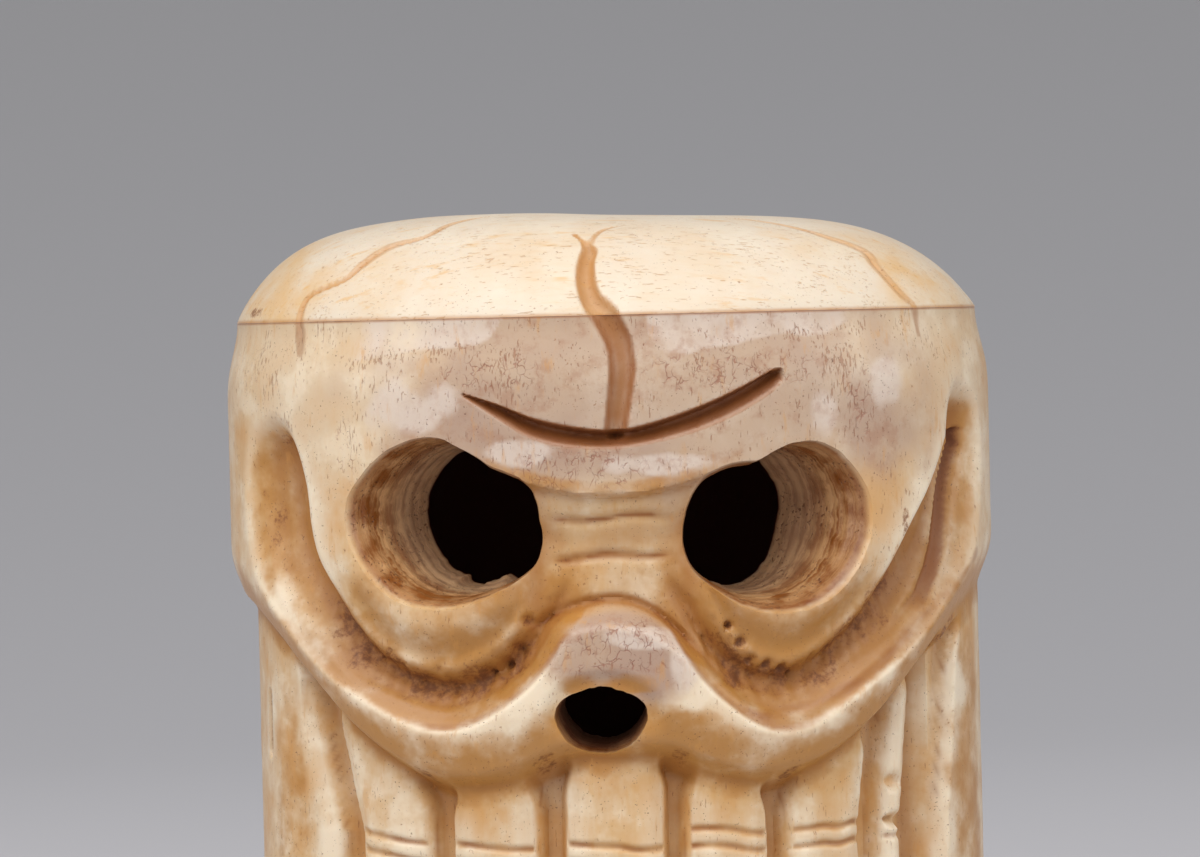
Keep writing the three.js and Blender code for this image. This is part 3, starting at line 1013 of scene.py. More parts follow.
@dataclass
class SkullBody:
    """The carved tube of bone with its sockets, nose hole and marrow cavity."""

    carving: Carving
    piercings: list[Piercing]
    face_reach: float = 19.0
    side_reach: float = 26.0
    face_step: float = 0.125
    side_step: float = 0.32
    back_step: float = 0.8
    row_step: float = 0.13
    fine_row_step: float = 0.085
    low_row_step: float = 0.32
    mouth_rows: Floats = (7.1, 9.0)
    frown_rows: Floats = (22.7, 26.1)
    nose_top: float = 14.6
    nose_rim: Floats = (13.7, 13.95)
    nose_tip: Floats = (14.1, 14.8)
    mellow: Floats = (16.0, 24.5)
    joint_line: float = 0.12
    edge_ease: float = 0.12
    glue_rise: float = 0.044
    glue_inset: float = 0.3
    cavity_rows: int = 10
    crisp: float = 42.0
    band_u: Floats = (-10.5, -8.0, -5.8, -4.6, -3.8, 1.0, 2.0, 4.7, 6.3, 8.6, 10.5)
    band_z: Floats = (26.3, 26.75, 26.95, 27.1, 28.2, 28.2, 26.7, 26.8, 27.1, 27.2, 27.5)
    pale_patches: Ovals = (
        (-7.6, 24.8, 2.2, 1.4), (-3.6, 23.0, 2.2, 0.7), (2.6, 22.4, 3.4, 0.6), (8.3, 24.3, 1.0, 1.5),
        (11.0, 25.4, 1.2, 1.4), (1.4, 15.9, 1.9, 0.5), (2.6, 14.6, 0.6, 1.0),
    )
    warm_patches: Ovals = (
        (2.7, 12.7, 1.9, 0.75, 0.8), (-3.4, 12.1, 0.9, 0.5, 0.5), (17.2, 8.0, 2.6, 8.5, 0.66),
        (-15.6, 9.0, 1.7, 6.5, 0.38), (6.5, 11.2, 3.0, 0.7, 0.6), (-6.5, 11.2, 2.6, 0.6, 0.5),
    )
    streak_u: Floats = (3.85, 4.6, 5.7, 8.05, 9.95, 11.25, 12.75, 14.9, 16.95)
    streak_z: Floats = (13.9, 13.25, 12.75, 13.2, 14.0, 14.85, 16.05, 17.2, 18.55)
    crazed_patches: Ovals = (
        (-1.2, 22.3, 3.9, 0.95), (-4.6, 26.0, 1.9, 0.75), (4.6, 25.9, 3.6, 0.8), (9.8, 24.6, 0.9, 1.5),
        (0.3, 15.4, 2.4, 1.2), (-10.4, 23.4, 0.4, 1.4),
    )
    forehead_cloud: Floats = (2.2, 25.2, 12.5, 4.6)
    nose_cloud: Floats = (0.5, 15.2, 3.2, 1.9)
    pore_lines: tuple[tuple[Floats, Floats, float], ...] = (
        ((-10.2, -8.0, -5.8, -3.0), (26.3, 26.75, 26.9, 26.7), 0.35),
        ((3.0, 4.7, 6.3, 8.6, 10.4), (26.1, 26.75, 27.15, 27.2, 27.5), 0.3),
        ((-9.6, -9.9), (24.9, 23.2), 0.5),
        ((9.0, 9.6), (26.0, 23.6), 0.8),
        ((-4.5, -2.2), (25.7, 25.1), 0.5),
        ((-15.0, -14.0), (26.8, 24.0), 0.9),
    )
    smudges: Ovals = (
        (-13.0, 22.6, 0.5, 0.55), (-12.75, 21.3, 0.38, 0.8), (-15.85, 21.4, 0.5, 0.4),
        (-15.4, 20.2, 0.3, 1.1), (-14.5, 23.6, 0.5, 0.3), (11.9, 19.6, 0.3, 1.2), (10.6, 17.2, 0.4, 0.6),
    )

    def shape(self) -> bpy.types.Object:
        """Make the carved skin, the joint face, the cavity and the underside as one ring, and pierce it."""
        tube = self.carving.tube
        ends = [-tube.half_girth, -self.side_reach, -self.face_reach, self.face_reach, self.side_reach,
                tube.half_girth]
        spacings = [self.back_step, self.side_step, self.face_step, self.side_step, self.back_step]
        u = steps(ends, spacings)[:-1]
        z = steps(
            [0.0, self.edge_ease, *self.mouth_rows, *self.frown_rows, tube.height],
            [1.0, self.low_row_step, self.fine_row_step, self.row_step, self.fine_row_step, self.row_step],
        )
        depth = self.carving.depth(u[None, :], z[:, None])
        depth[0] += self.edge_ease
        outer = tube.point(u[None, :], z[:, None], depth)
        outer[-1, :, 2] += self.glue_rise
        inside = tube.heading(tube.angle_at(u)) * tube.cavity(tube.angle_at(u))[:, None]
        inner = np.repeat(inside[None], self.cavity_rows, axis=0)
        inner[..., 2] = np.linspace(tube.height, 0.0, self.cavity_rows)[:, None]
        glue = tube.point(u, np.full_like(u, tube.height), depth[-1] + self.glue_inset)
        glue[..., 2] += self.glue_rise
        grid = np.concatenate([outer, glue[None], inner])
        body = solid_object("bone_skull", grid.reshape(-1, 3), grid_triangles(grid, ring=True))
        for piercing in self.piercings:
            cut(body, piercing.cutter(self.carving))
        smooth(body, self.crisp)
        return body

    def notes(self, body: bpy.types.Object, relief: ReliefMap) -> None:
        """Keep what the finish needs at each vertex: values for the outer skin alone, then for any place."""
        tube = self.carving.tube
        points = vertices_of(body)
        u, z, sunk = tube.unrolled(points)
        carved = relief.read(relief.depth, u, z)
        below = np.clip(sunk - carved, 0.0, None)
        angle = np.arctan2(points[:, 0], -points[:, 1])
        wall = tube.outline(angle) - tube.cavity(angle)
        # inside: painted shade, laid near black on the marrow cavity's wall and, below the nose top, deep in
        # the nose hole.
        inside = rise(0.97, 1.0, sunk / wall)
        pierced = rise(0.06, 0.3, below) * (1.0 - inside)
        inside = np.maximum(inside, 0.6 * rise(0.3, 1.4, below) * (z < self.nose_top))
        fine = relief.read(relief.hollow(0.24), u, z)
        broad = relief.read(relief.hollow(1.0), u, z)
        skin = 1.0 - np.maximum(pierced, inside)
        teeth = self.carving.jaw.reach(u, z)
        hollow = (1.0 - 0.68 * teeth) * (1.2 * broad + 2.2 * fine)
        hollow = np.clip(0.12 * rise(0.05, 0.9, carved - tube.rim(z)) + hollow, 0.0, 1.0)
        on_skin = {
            "hollow": hollow,
            # crest: the convex ridges, laid paler in the finish: worn bone and a painted highlight.
            "crest": np.clip(-2.2 * broad - 2.5 * fine, 0.0, 1.0),
            "stain": self.stains(u, z),
            "blush": self.clouds(u, z),
            "crackle": self.crackle(u, z),
            "dirt": self.dirt(u, z),
            # channel: honey patina, with painted shade under the brow's edge and under the nose.
            "channel": self.honey_and_painted_shade(u, z),
            "speckled": self.speckled(u, z),
            "pale": self.pale(u, z),
        }
        anywhere = {
            "wall": pierced,
            "inside": inside,
            "sunk": below,
            "umber": self.umber(u, z, pierced),
            "low": fall(*self.mellow, z - 0.02 * u**2),
            "joint": rise(tube.height - self.joint_line, tube.height, z),
        }
        for name, values in on_skin.items():
            note(body, name, values * skin)
        for name, values in anywhere.items():
            note(body, name, values)

    def stains(self, u: Array, z: Array) -> Array:
        """Orange-brown stain along every scored line, the slit and the streak beside it."""
        tube = self.carving.tube
        brow = self.carving.brow
        plain = tube.point(u, z, tube.rim(z))
        made = brow.frown(u, z)[1]
        made = np.maximum(made, 0.3 * np.clip(brow.wrinkles(u, z) / brow.wrinkle_depth, 0.0, 1.0))
        made = np.maximum(made, 0.95 * brow.lines(u, z))
        made = np.maximum(made, 0.6 * self.carving.jaw.outlines(u, z))
        scored = self.carving.jaw.mouth(u, z) / self.carving.jaw.mouth_depth
        made = np.maximum(made, scored * (0.62 + 0.3 * uneven(u, z, 0.8, 9)))
        channel = self.carving.channel
        made = np.maximum(made, 0.6 * channel.crease(*channel.place(u, z)))
        slit, along = channel.slot(u, z)
        made = np.maximum(made, 0.9 * rise(0.0, 0.6, slit) * fall(0.6, 1.0, along))
        gap, _ = along_path(self.streak_u, self.streak_z, u, z)
        soft = fall(0.05, 0.34, gap + 0.08 * uneven(u, z, 0.9, 62)) * (0.62 + 0.4 * uneven(u, z, 0.8, 63))
        made = np.maximum(made, 0.85 * soft)
        for suture in self.carving.sutures:
            made = np.maximum(made, suture.marks(plain, tube, self.carving.dome)[1])
        return np.clip(made, 0.0, 1.0)

    def honey_and_painted_shade(self, u: Array, z: Array) -> Array:
        """The honey-brown patina of the channels, of the slopes that lead down to them and of the undersides
        of the ridges, with painted shade under the brow's lower edge and on the underside of the nose."""
        channel = self.carving.channel
        bearing, place = channel.place(u, z)
        on_lip = 0.8 * rise(-1.1, 0.0, place) * fall(35.0, 80.0, bearing)
        upper = rise(*channel.temple, bearing)
        foot = channel.wall(u, bearing)
        floor = rise(-0.02, 0.14, place) * (1.0 - 0.6 * rise(0.4 + 0.28 * upper, 0.75 + 0.17 * upper, place))
        floor = floor * (1.0 - 0.3 * rise(1.1, 1.8, place / foot) * fall(0.75, 0.95, place))
        made = np.maximum(floor, on_lip) * fall(0.85, 1.0, place) * channel.ends(bearing, place)
        foot = self.carving.jaw.foot(u)
        under = 0.9 * fall(foot + 0.3, foot + 2.3, z) * rise(foot - 1.6, foot - 0.1, z)
        brow = self.carving.brow
        # Painted shade where the brow's lower edge turns under.
        edge = brow.brow_z + brow.brow_rise * u**2
        ledge = 0.45 * rise(edge - 0.6, edge, z) * fall(edge + 0.1, edge + 0.75, z)
        ledge = ledge * fall(4.0, 6.0, np.abs(u))
        # Painted shade on the underside of the nose, over its hole.
        nose = 0.8 * rise(*self.nose_rim, z) * fall(*self.nose_tip, z) * fall(1.0, 2.6, np.abs(u + 0.4))
        patches = ovals(self.warm_patches, u, z, 0.25 * uneven(u, z, 1.1, 64), 0.3, 1.15)
        return np.max([made, under, ledge, nose, patches], axis=0)

    def umber(self, u: Array, z: Array, pierced: Array) -> Array:
        """The deep brown of the frown and of the slit, and of the walls of the nose hole and right socket."""
        cut_in, _ = self.carving.brow.frown(u, z)
        frown = 0.95 * rise(0.04, 0.3, cut_in / self.carving.brow.frown_depth)
        slit, along = self.carving.channel.slot(u, z)
        slit = rise(0.1, 0.7, slit) * (0.85 - 0.4 * rise(0.1, 0.6, along)) * fall(0.7, 1.0, along)
        walls = pierced * np.where(z < self.nose_top, 0.6, 0.28 * (u > 0.0))
        bearing, place = self.carving.channel.place(u, z)
        last = np.where(u < 0.0, 75.0, 105.0)
        floor = rise(0.05, 0.25, place) * fall(0.75, 1.0, place) * rise(-60.0, -20.0, bearing)
        floor = 0.26 * floor * rise(0.0, 30.0, last - bearing) * (1.0 - pierced)
        return np.max([frown, slit, walls, floor], axis=0)

    def pale(self, u: Array, z: Array) -> Array:
        """Bleached bone: a band under the joint on either side of the suture, and soft patches under the
        frown, over the left socket and by the right temple."""
        ragged = 0.18 * uneven(u, z, 1.2, 35)
        edge = through(self.band_u, self.band_z, u) + ragged
        band = rise(-0.15, 0.15, z - edge) * fall(9.0, 11.0, np.abs(u)) * rise(0.9, 1.3, np.abs(u - 0.4))
        return np.maximum(0.8 * band, ovals(self.pale_patches, u, z, 2.0 * ragged, 0.3, 1.1))

    def speckled(self, u: Array, z: Array) -> Array:
        """Where the pores are thick: arcs across the forehead, and patches by the temples."""
        ragged = 0.3 * uneven(u, z, 0.8, 45)
        made = np.zeros(np.broadcast(u, z).shape)
        for us, zs, half in self.pore_lines:
            gap, _ = along_path(us, zs, u, z)
            made = np.maximum(made, fall(0.5, 1.2, gap / half + ragged))
        return made

    def clouds(self, u: Array, z: Array) -> Array:
        """Greyish rose clouding of the forehead and the nose, in broad ovals with ragged edges."""
        ragged = 0.22 * uneven(u, z, 2.6, 31) + 0.12 * uneven(u, z, 1.1, 32)
        forehead = ovals((self.forehead_cloud,), u, z, ragged, 0.55, 1.15)
        nose = ovals((self.nose_cloud,), u, z, ragged, 0.6, 1.1)
        return np.clip(forehead + nose, 0.0, 1.0)

    def crackle(self, u: Array, z: Array) -> Array:
        """Patches where the surface is crazed: the brow, beside the suture and by the right temple."""
        return ovals(self.crazed_patches, u, z, 0.3 * uneven(u, z, 1.3, 41), 0.55, 1.1)

    def dirt(self, u: Array, z: Array) -> Array:
        """Dark dirt in the foot of the channels, the pits and the tops of the grooves between the teeth."""
        channel = self.carving.channel
        jaw = self.carving.jaw
        bearing, place = channel.place(u, z)
        near = place / channel.wall(u, bearing) - 1.0 - 0.3 * uneven(u, z, 1.0, 57)
        foot = fall(0.1, 1.0, np.abs(near)) * rise(-50.0, -15.0, bearing) * fall(50.0, 88.0, bearing)
        foot = foot * (0.6 + 0.3 * uneven(u, z, 0.7, 55))
        smudges = 0.42 * ovals(self.smudges, u, z, 0.35 * uneven(u, z, 0.8, 58), 0.4, 1.2)
        pits = channel.pits(u, z) / channel.pit_depth
        under = jaw.foot(u) - z
        tops = fall(0.2, 1.1, under) * rise(-0.2, 0.1, under) * fall(-0.35, -0.05, jaw.beside(u, z))
        slot = jaw.behind(u, z, 0.15, 0.3)
        slit, along = channel.slot(u, z)
        slit = rise(0.15, 0.6, slit) * fall(0.03, 0.22, along)
        cut_in, stained = self.carving.brow.frown(u, z)
        frown = 0.42 * stained * rise(0.1, 0.5, cut_in)
        made = [foot, smudges, 0.85 * pits, 0.55 * tops, slot, slit, frown]
        return np.clip(np.max(made, axis=0), 0.0, 1.0)


@dataclass
class SkullCap:
    """The low domed plate that closes the top, cut by the same sutures."""

    dome: Dome
    sutures: list[Suture]
    across: int = 250
    deep: int = 210
    crisp: float = 50.0
    golden: Floats = (12.4, -7.0, 2.8, 4.5)
    golden_left: Floats = (-13.2, -5.5, 2.8, 6.0)
    spot: Floats = (-13.55, 28.45, 0.45, 0.2)
    joint_line: float = 0.16
    angle: Array = field(init=False)
    share: Array = field(init=False)

    def shape(self) -> bpy.types.Object:
        """Make the dome over a square grid drawn out to the outline, so that it has no pole, and close it
        below with a flat face."""
        sides = (np.linspace(-1, 1, count + 1) for count in (self.across, self.deep))
        a, b = np.meshgrid(*sides, indexing="ij")
        share = np.maximum(np.abs(a), np.abs(b))
        angle = np.arctan2(a, -b)
        self.angle = np.append(angle, 0.0)
        self.share = np.append(share, 0.0)
        plain = self.dome.point(angle, share)
        along_a = np.gradient(plain, axis=0)
        along_b = np.gradient(plain, axis=1)
        normal = np.cross(along_a, along_b)
        normal = normal / np.linalg.norm(normal, axis=-1, keepdims=True)
        depth = 0.02 * (1.0 + uneven(plain[..., 0], plain[..., 1], 2.4, 61)) * fall(0.97, 1.0, share)
        for suture in self.sutures:
            depth = depth + suture.marks(plain, self.dome.tube, self.dome)[0]
        carved = plain - normal * depth[..., None]
        lowest = self.dome.tube.height + self.dome.glue_line
        carved[..., 2] = np.maximum(carved[..., 2], lowest)
        numbers = np.arange(a.size).reshape(a.shape)
        cells = (numbers[:-1, :-1], numbers[1:, :-1], numbers[1:, 1:], numbers[:-1, 1:])
        edge = np.concatenate([numbers[:-1, 0], numbers[-1, :-1], numbers[:0:-1, -1], numbers[0, :0:-1]])
        centre = np.array([[0.0, 0.0, lowest]])
        points = np.concatenate([carved.reshape(-1, 3), centre])
        under = fan(edge[::-1], a.size)
        cap = solid_object("bone_cap", points, np.concatenate([parted(points, cells), under]))
        smooth(cap, self.crisp)
        return cap

    def notes(self, cap: bpy.types.Object) -> None:
        """Keep the stains of the sutures and of the edge, and the clouding, at each vertex."""
        points = vertices_of(cap)
        tube = self.dome.tube
        share = self.share
        plain = self.dome.point(self.angle, share)
        stain = np.zeros(len(points))
        carved = np.zeros(len(points))
        for suture in self.sutures:
            cut_in, halo = suture.marks(plain, tube, self.dome)
            stain = np.maximum(stain, halo)
            carved = np.maximum(carved, cut_in / suture.depth)
        x, y, z = points.T
        note(cap, "stain", stain)
        note(cap, "hollow", 0.55 * carved)
        # crest: paler over the middle of the dome, where it is highest: painted highlight.
        note(cap, "crest", fall(0.5, 0.95, share) * 0.3)
        golden = ovals((self.golden,), x, y, 0.25 * uneven(x, y, 1.5, 71), 0.3, 1.1)
        left = ovals((self.golden_left,), x, y, 0.25 * uneven(x, y, 1.5, 72), 0.4, 1.2)
        back = rise(-5.0, 0.0, y)
        note(cap, "low", np.clip(0.85 * golden + 0.7 * left + 0.3 * back, 0.0, 1.0))
        note(cap, "joint", fall(tube.height + self.dome.glue_line, tube.height + self.joint_line, z))
        note(cap, "dirt", 0.55 * ovals((self.spot,), x, z, 0.0, 0.5, 1.1) * (y < 0.0))


class Value:
    """A shader value: an expression on it adds the Math nodes that work it out."""

    def __init__(self, shader: "Shader", socket: bpy.types.NodeSocket) -> None:
        """Wrap a socket of a shader."""
        self.shader = shader
        self.socket = socket

    def math(self, operation: str, a: object, b: object) -> "Value":
        """Add one Math node."""
        return self.shader.add("ShaderNodeMath", {"operation": operation}, {0: a, 1: b})

    def __add__(self, other: object) -> "Value":
        """Sum."""
        return self.math("ADD", self, other)

    def __radd__(self, other: object) -> "Value":
        """Sum, the other way round."""
        return self.math("ADD", other, self)

    def __sub__(self, other: object) -> "Value":
        """Difference."""
        return self.math("SUBTRACT", self, other)

    def __rsub__(self, other: object) -> "Value":
        """Difference, the other way round."""
        return self.math("SUBTRACT", other, self)

    def __mul__(self, other: object) -> "Value":
        """Product."""
        return self.math("MULTIPLY", self, other)

    def rise(self, start: float, end: float) -> "Value":
        """Smooth rise from 0 to 1 between two values, or a fall where the first is the larger."""
        settings = {"interpolation_type": "SMOOTHSTEP"}
        ends = {1: start, 2: end, 3: 0.0, 4: 1.0} if start < end else {1: end, 2: start, 3: 1.0, 4: 0.0}
        return self.shader.add("ShaderNodeMapRange", settings, {0: self, **ends})


class Shader:
    """A material's nodes, added one by one: colours laid over one another, and values wired to inputs."""

    def __init__(self, name: str, ground: Rgb, grain: Floats = ()) -> None:
        """Start a material with one surface shader, a plain colour and, if given, a grain."""
        self.material = bpy.data.materials.new(name)
        self.material.use_nodes = True
        self.tree = self.material.node_tree
        self.surface = self.tree.nodes["Principled BSDF"].inputs
        self.colour: object = tint(*ground)
        self.kept: dict[str, Value] = {}
        self.place = self.add("ShaderNodeTexCoord", {}, {}, "Object")
        self.drawn = self.stretched(grain) if grain else self.place

    def add(self, kind: str, settings: dict, inputs: dict, output: int | str = 0) -> Value:
        """Add a node.

        Args:
            kind: The node's type.
            settings: Its own settings, set first.
            inputs: Values or links of its sockets, by number or name.
            output: Which of its outputs to give back.

        Returns:
            The output, wrapped.
        """
        node = self.tree.nodes.new(kind)
        for name, setting in settings.items():
            setattr(node, name, setting)
        for key, given in inputs.items():
            if isinstance(given, Value):
                self.tree.links.new(given.socket, node.inputs[key])
            else:
                node.inputs[key].default_value = given
        return Value(self, node.outputs[output])

    def read(self, name: str) -> Value:
        """A value kept on the mesh."""
        if name not in self.kept:
            self.kept[name] = self.add("ShaderNodeAttribute", {"attribute_name": name}, {}, "Fac")
        return self.kept[name]

    def mix(self, share: object, a: object, b: object) -> Value:
        """Colour between two others."""
        colours = {0: share, 6: a, 7: b}
        return self.add("ShaderNodeMix", {"data_type": "RGBA"}, colours, 2)

    def lay(self, share: object, over: Rgb) -> None:
        """Lay a screen colour over the colour so far."""
        self.colour = self.mix(share, self.colour, tint(*over))

    def noise(self, size: float, detail: float, rough: float = 0.5, drawn: bool = False) -> Value:
        """Cloudy pattern of a size in millimetres, from 0 to 1, along the grain if it is drawn."""
        place = self.drawn if drawn else self.place
        sockets = {"Vector": place, "Scale": 1.0 / (size * MM), "Detail": detail, "Roughness": rough}
        return self.add("ShaderNodeTexNoise", {"noise_dimensions": "3D"}, sockets, "Fac")

    def spots(self, fine: Floats, above: Floats, coarse: float, within: Floats, drawn: bool = False) -> Value:
        """Spots where a fine pattern is high, within the patches where a coarse one is.

        Args:
            fine: Size, detail and roughness of the fine pattern.
            above: Where in it a spot begins and where it is full.
            coarse: Size of the coarse pattern.
            within: Where in it a patch begins and where it is full.
            drawn: Whether the fine pattern runs along the grain.

        Returns:
            Values from 0 to 1.
        """
        return self.noise(*fine, drawn=drawn).rise(*above) * self.noise(coarse, 2.0).rise(*within)

    def cells(self, place: Value, size: float, feature: str) -> Value:
        """Cell pattern of a size in millimetres: the distance to the nearest point or edge."""
        sockets = {"Vector": place, "Scale": 1.0 / (size * MM)}
        return self.add("ShaderNodeTexVoronoi", {"feature": feature}, sockets, "Distance")

    def stretched(self, scale: Floats) -> Value:
        """Places scaled along each axis, which draws a pattern out where the scale is small."""
        return self.add("ShaderNodeMapping", {}, {"Vector": self.place, "Scale": scale})

    def wire(self, **values: Value) -> None:
        """Wire values to inputs of the surface, whose names have a line in place of each space."""
        for name, value in values.items():
            self.tree.links.new(value.socket, self.surface[name.replace("_", " ")])


def tint(red: int, green: int, blue: int) -> tuple[float, float, float, float]:
    """Linear colour of a screen colour with parts from 0 to 255."""
    parts = [value / 255.0 for value in (red, green, blue)]
    linear = [((p + 0.055) / 1.055) ** 2.4 if p > 0.04045 else p / 12.92 for p in parts]
    return (linear[0], linear[1], linear[2], 1.0)


@dataclass(frozen=True)
class BoneFinish:
    """Polished old bone: cream, warmer in the hollows, with pores, fine cracks, stains and dirt, painted
    highlights on the crests, and painted shade in the cavity, under the brow and under the nose.
    """

    name: str
    grain: Grain
    cream: Rgb
    honey: Rgb
    patina: Rgb
    stain: Rgb
    dark: Rgb = (96, 54, 28)
    pore: Rgb = (146, 84, 42)
    crack: Rgb = (140, 66, 36)
    blush: Rgb = (180, 150, 130)
    milk: Rgb = (224, 208, 194)
    rose: Rgb = (166, 114, 84)
    tan: Rgb = (184, 128, 58)
    gold: Rgb = (208, 150, 78)
    pale_highlight_cream: Rgb = (244, 228, 202)
    grime: Rgb = (146, 88, 40)
    seam: Rgb = (170, 104, 52)
    gouge_dark: Rgb = (140, 82, 34)
    gouge_light: Rgb = (216, 168, 116)
    gouge_inner: Rgb = (190, 160, 130)
    gouge_rim: Rgb = (134, 74, 32)
    cavity_shade: Rgb = (84, 36, 20)
    umber: Rgb = (112, 58, 24)
    pore_size: float = 0.08
    pore_share: float = 0.69
    smear: float = 0.45
    dot: float = 0.65
    freckle: float = 0.55
    roughness: float = 0.31
    hollow_roughness: float = 0.24
    translucency: float = 0.12
    translucent_reach: float = 0.9
    glow: Floats = (1.0, 0.72, 0.45)
    refraction: float = 1.54
    shine: float = 0.42
    relief: float = 0.02
    warp_by: float = 0.6

    def material(self, carved: bool) -> bpy.types.Material:
        """Build the finish.

        Args:
            carved: Whether the piece keeps the notes of the carved body as well as those of the cap.

        Returns:
            The material.
        """
        shader = Shader(self.name, self.cream, self.grain.value)
        cloudy, streaks, grit = self.ground(shader, carved)
        height, grime = self.blemishes(shader, carved, cloudy, grit)
        if carved:
            height = self.broken_surface(shader, height)
        rough = self.roughness + shader.read("hollow") * self.hollow_roughness
        rough = rough + (streaks - 0.5) * 0.16 + grime * 0.2
        if carved:
            rough = rough + shader.read("inside") * 0.6
        height = height + streaks * 0.35 + grit * 0.25
        bump = {"Strength": 1.0, "Distance": self.relief * MM, "Height": height}
        normal = shader.add("ShaderNodeBump", {}, bump, "Normal")
        shader.wire(Base_Color=shader.colour, Roughness=rough, Normal=normal)
        constants = {
            "Subsurface Weight": self.translucency,
            "Subsurface Radius": self.glow,
            "Subsurface Scale": self.translucent_reach * MM,
            "IOR": self.refraction,
            "Specular IOR Level": self.shine,
        }
        for name, value in constants.items():
            shader.surface[name].default_value = value
        return shader.material

    def ground(self, shader: Shader, carved: bool) -> tuple[Value, Value, Value]:
        """Lay the colours of the bone: cream and honey, gold and pale patches with painted highlights on the
        crests, the clouding of the forehead, the tan of the channels with painted shade under the brow and
        the nose, and the patina of the hollows.

        Args:
            shader: The material being built.
            carved: Whether the piece is the carved body.

        Returns:
            A cloudy, a streaky and a gritty pattern, for what is laid over these colours.
        """
        hollow = shader.read("hollow")
        crest = shader.read("crest")
        low = shader.read("low")
        broad = shader.noise(5.0, 3.0)
        cloudy = shader.noise(1.2, 4.0)
        streaks = shader.noise(0.22, 4.0, 0.6, drawn=True)
        grit = shader.noise(0.16, 3.0, 0.65)
        patches = shader.noise(2.3, 4.0, 0.6)
        warm = (low * 0.5 + broad.rise(0.35, 0.7) * 0.4 + streaks.rise(0.45, 0.75) * 0.2) - crest * 0.5
        shader.lay(warm.rise(0.0, 1.1), self.honey)
        golden = patches.rise(0.45, 0.67) * (low * 0.75 + 0.15)
        shader.lay(golden * (1.0 - crest * 0.7) * 0.75, self.gold)
        # Pale patches, and the crests laid paler: worn bone with a painted highlight.
        pale_and_highlight = (patches.rise(0.52, 0.35) * 0.55 + crest * 0.75).rise(0.0, 1.1)
        shader.lay(pale_and_highlight * 0.8, self.pale_highlight_cream)
        if carved:
            clouded = shader.read("blush") * (0.6 + broad.rise(0.3, 0.65) * 0.4)
            shader.lay(clouded * (1.0 - hollow * 0.6), self.blush)
            pale = shader.read("pale")
            milky = (pale + (patches - 0.5) * 1.6 + (cloudy - 0.5) * 1.2).rise(0.25, 1.0)
            shader.lay(milky * pale.rise(0.0, 0.35) * 0.72, self.milk)
            rosy = shader.noise(0.8, 4.0, 0.65).rise(0.48, 0.68) * shader.read("blush")
            shader.lay(rosy * 0.4, self.rose)
            # The channel note lays tan: patina in the channels, and painted shade under the brow's edge and
            # the nose.
            channel = shader.read("channel")
            floor = (channel + (patches - 0.5) * 1.3 + (cloudy - 0.5) * 1.1) * channel.rise(0.0, 0.3)
            shader.lay(floor.rise(0.05, 0.9) * 0.92, self.tan)
        worn = (hollow * 1.2 + cloudy * 0.55 - 0.3) * (1.0 - crest * 0.6)
        shader.lay(worn.rise(0.05, 0.95) * 0.9, self.patina)
        smears = shader.spots((0.45, 4.0, 0.65), (0.55, 0.7), 2.2, (0.42, 0.58), drawn=True)
        shader.lay(smears * self.smear, self.gold)
        return cloudy, streaks, grit

    def blemishes(self, shader: Shader, carved: bool, cloudy: Value, grit: Value) -> tuple[Value, Value]:
        """Lay stains, pores, dots, freckles, the line of the joint and dirt over the colour so far.

        Args:
            shader: The material being built.
            carved: Whether the piece is the carved body.
            cloudy: A cloudy pattern.
            grit: A gritty pattern.

        Returns:
            The fine relief of the pores and the dirt, and how dirty each place is.
        """
        halo = (shader.read("stain") * (0.72 + cloudy * 0.4)).rise(0.1, 0.9)
        shader.lay(halo * 0.85, self.stain)
        flecks = shader.noise(self.pore_size, 2.0, 0.6, drawn=True)
        scatter = shader.noise(1.5, 2.0).rise(0.44, 0.62) * 0.07 * (1.0 - shader.read("low") * 0.6)
        if carved:
            scatter = scatter + shader.read("speckled") * 0.085
        pores = (flecks + scatter).rise(self.pore_share, self.pore_share + 0.05)
        shader.lay(pores * 0.5, self.pore)
        dots = shader.spots((0.09, 1.0), (0.68, 0.75), 0.9, (0.46, 0.58))
        shader.lay(dots * self.dot, self.dark)
        freckles = shader.spots((0.17, 2.0, 0.6), (0.66, 0.74), 1.9, (0.44, 0.56))
        shader.lay(freckles * self.freckle, self.grime)
        shader.lay(shader.read("joint").rise(0.35, 1.0) * (0.3 + cloudy * 0.8), self.seam)
        dirt = shader.read("dirt")
        clump = shader.noise(0.5, 4.0, 0.65)
        grime = (dirt + (grit - 0.5) * 1.2 + (clump - 0.5) * 1.7) * dirt.rise(0.02, 0.3)
        grime = grime.rise(0.1, 1.15)
        shader.lay(grime.rise(0.0, 0.6) * 0.7, self.grime)
        shader.lay(grime.rise(0.3, 1.0) * 0.72, self.dark)
        return 1.0 - pores * 0.6 - grime * 0.4, grime

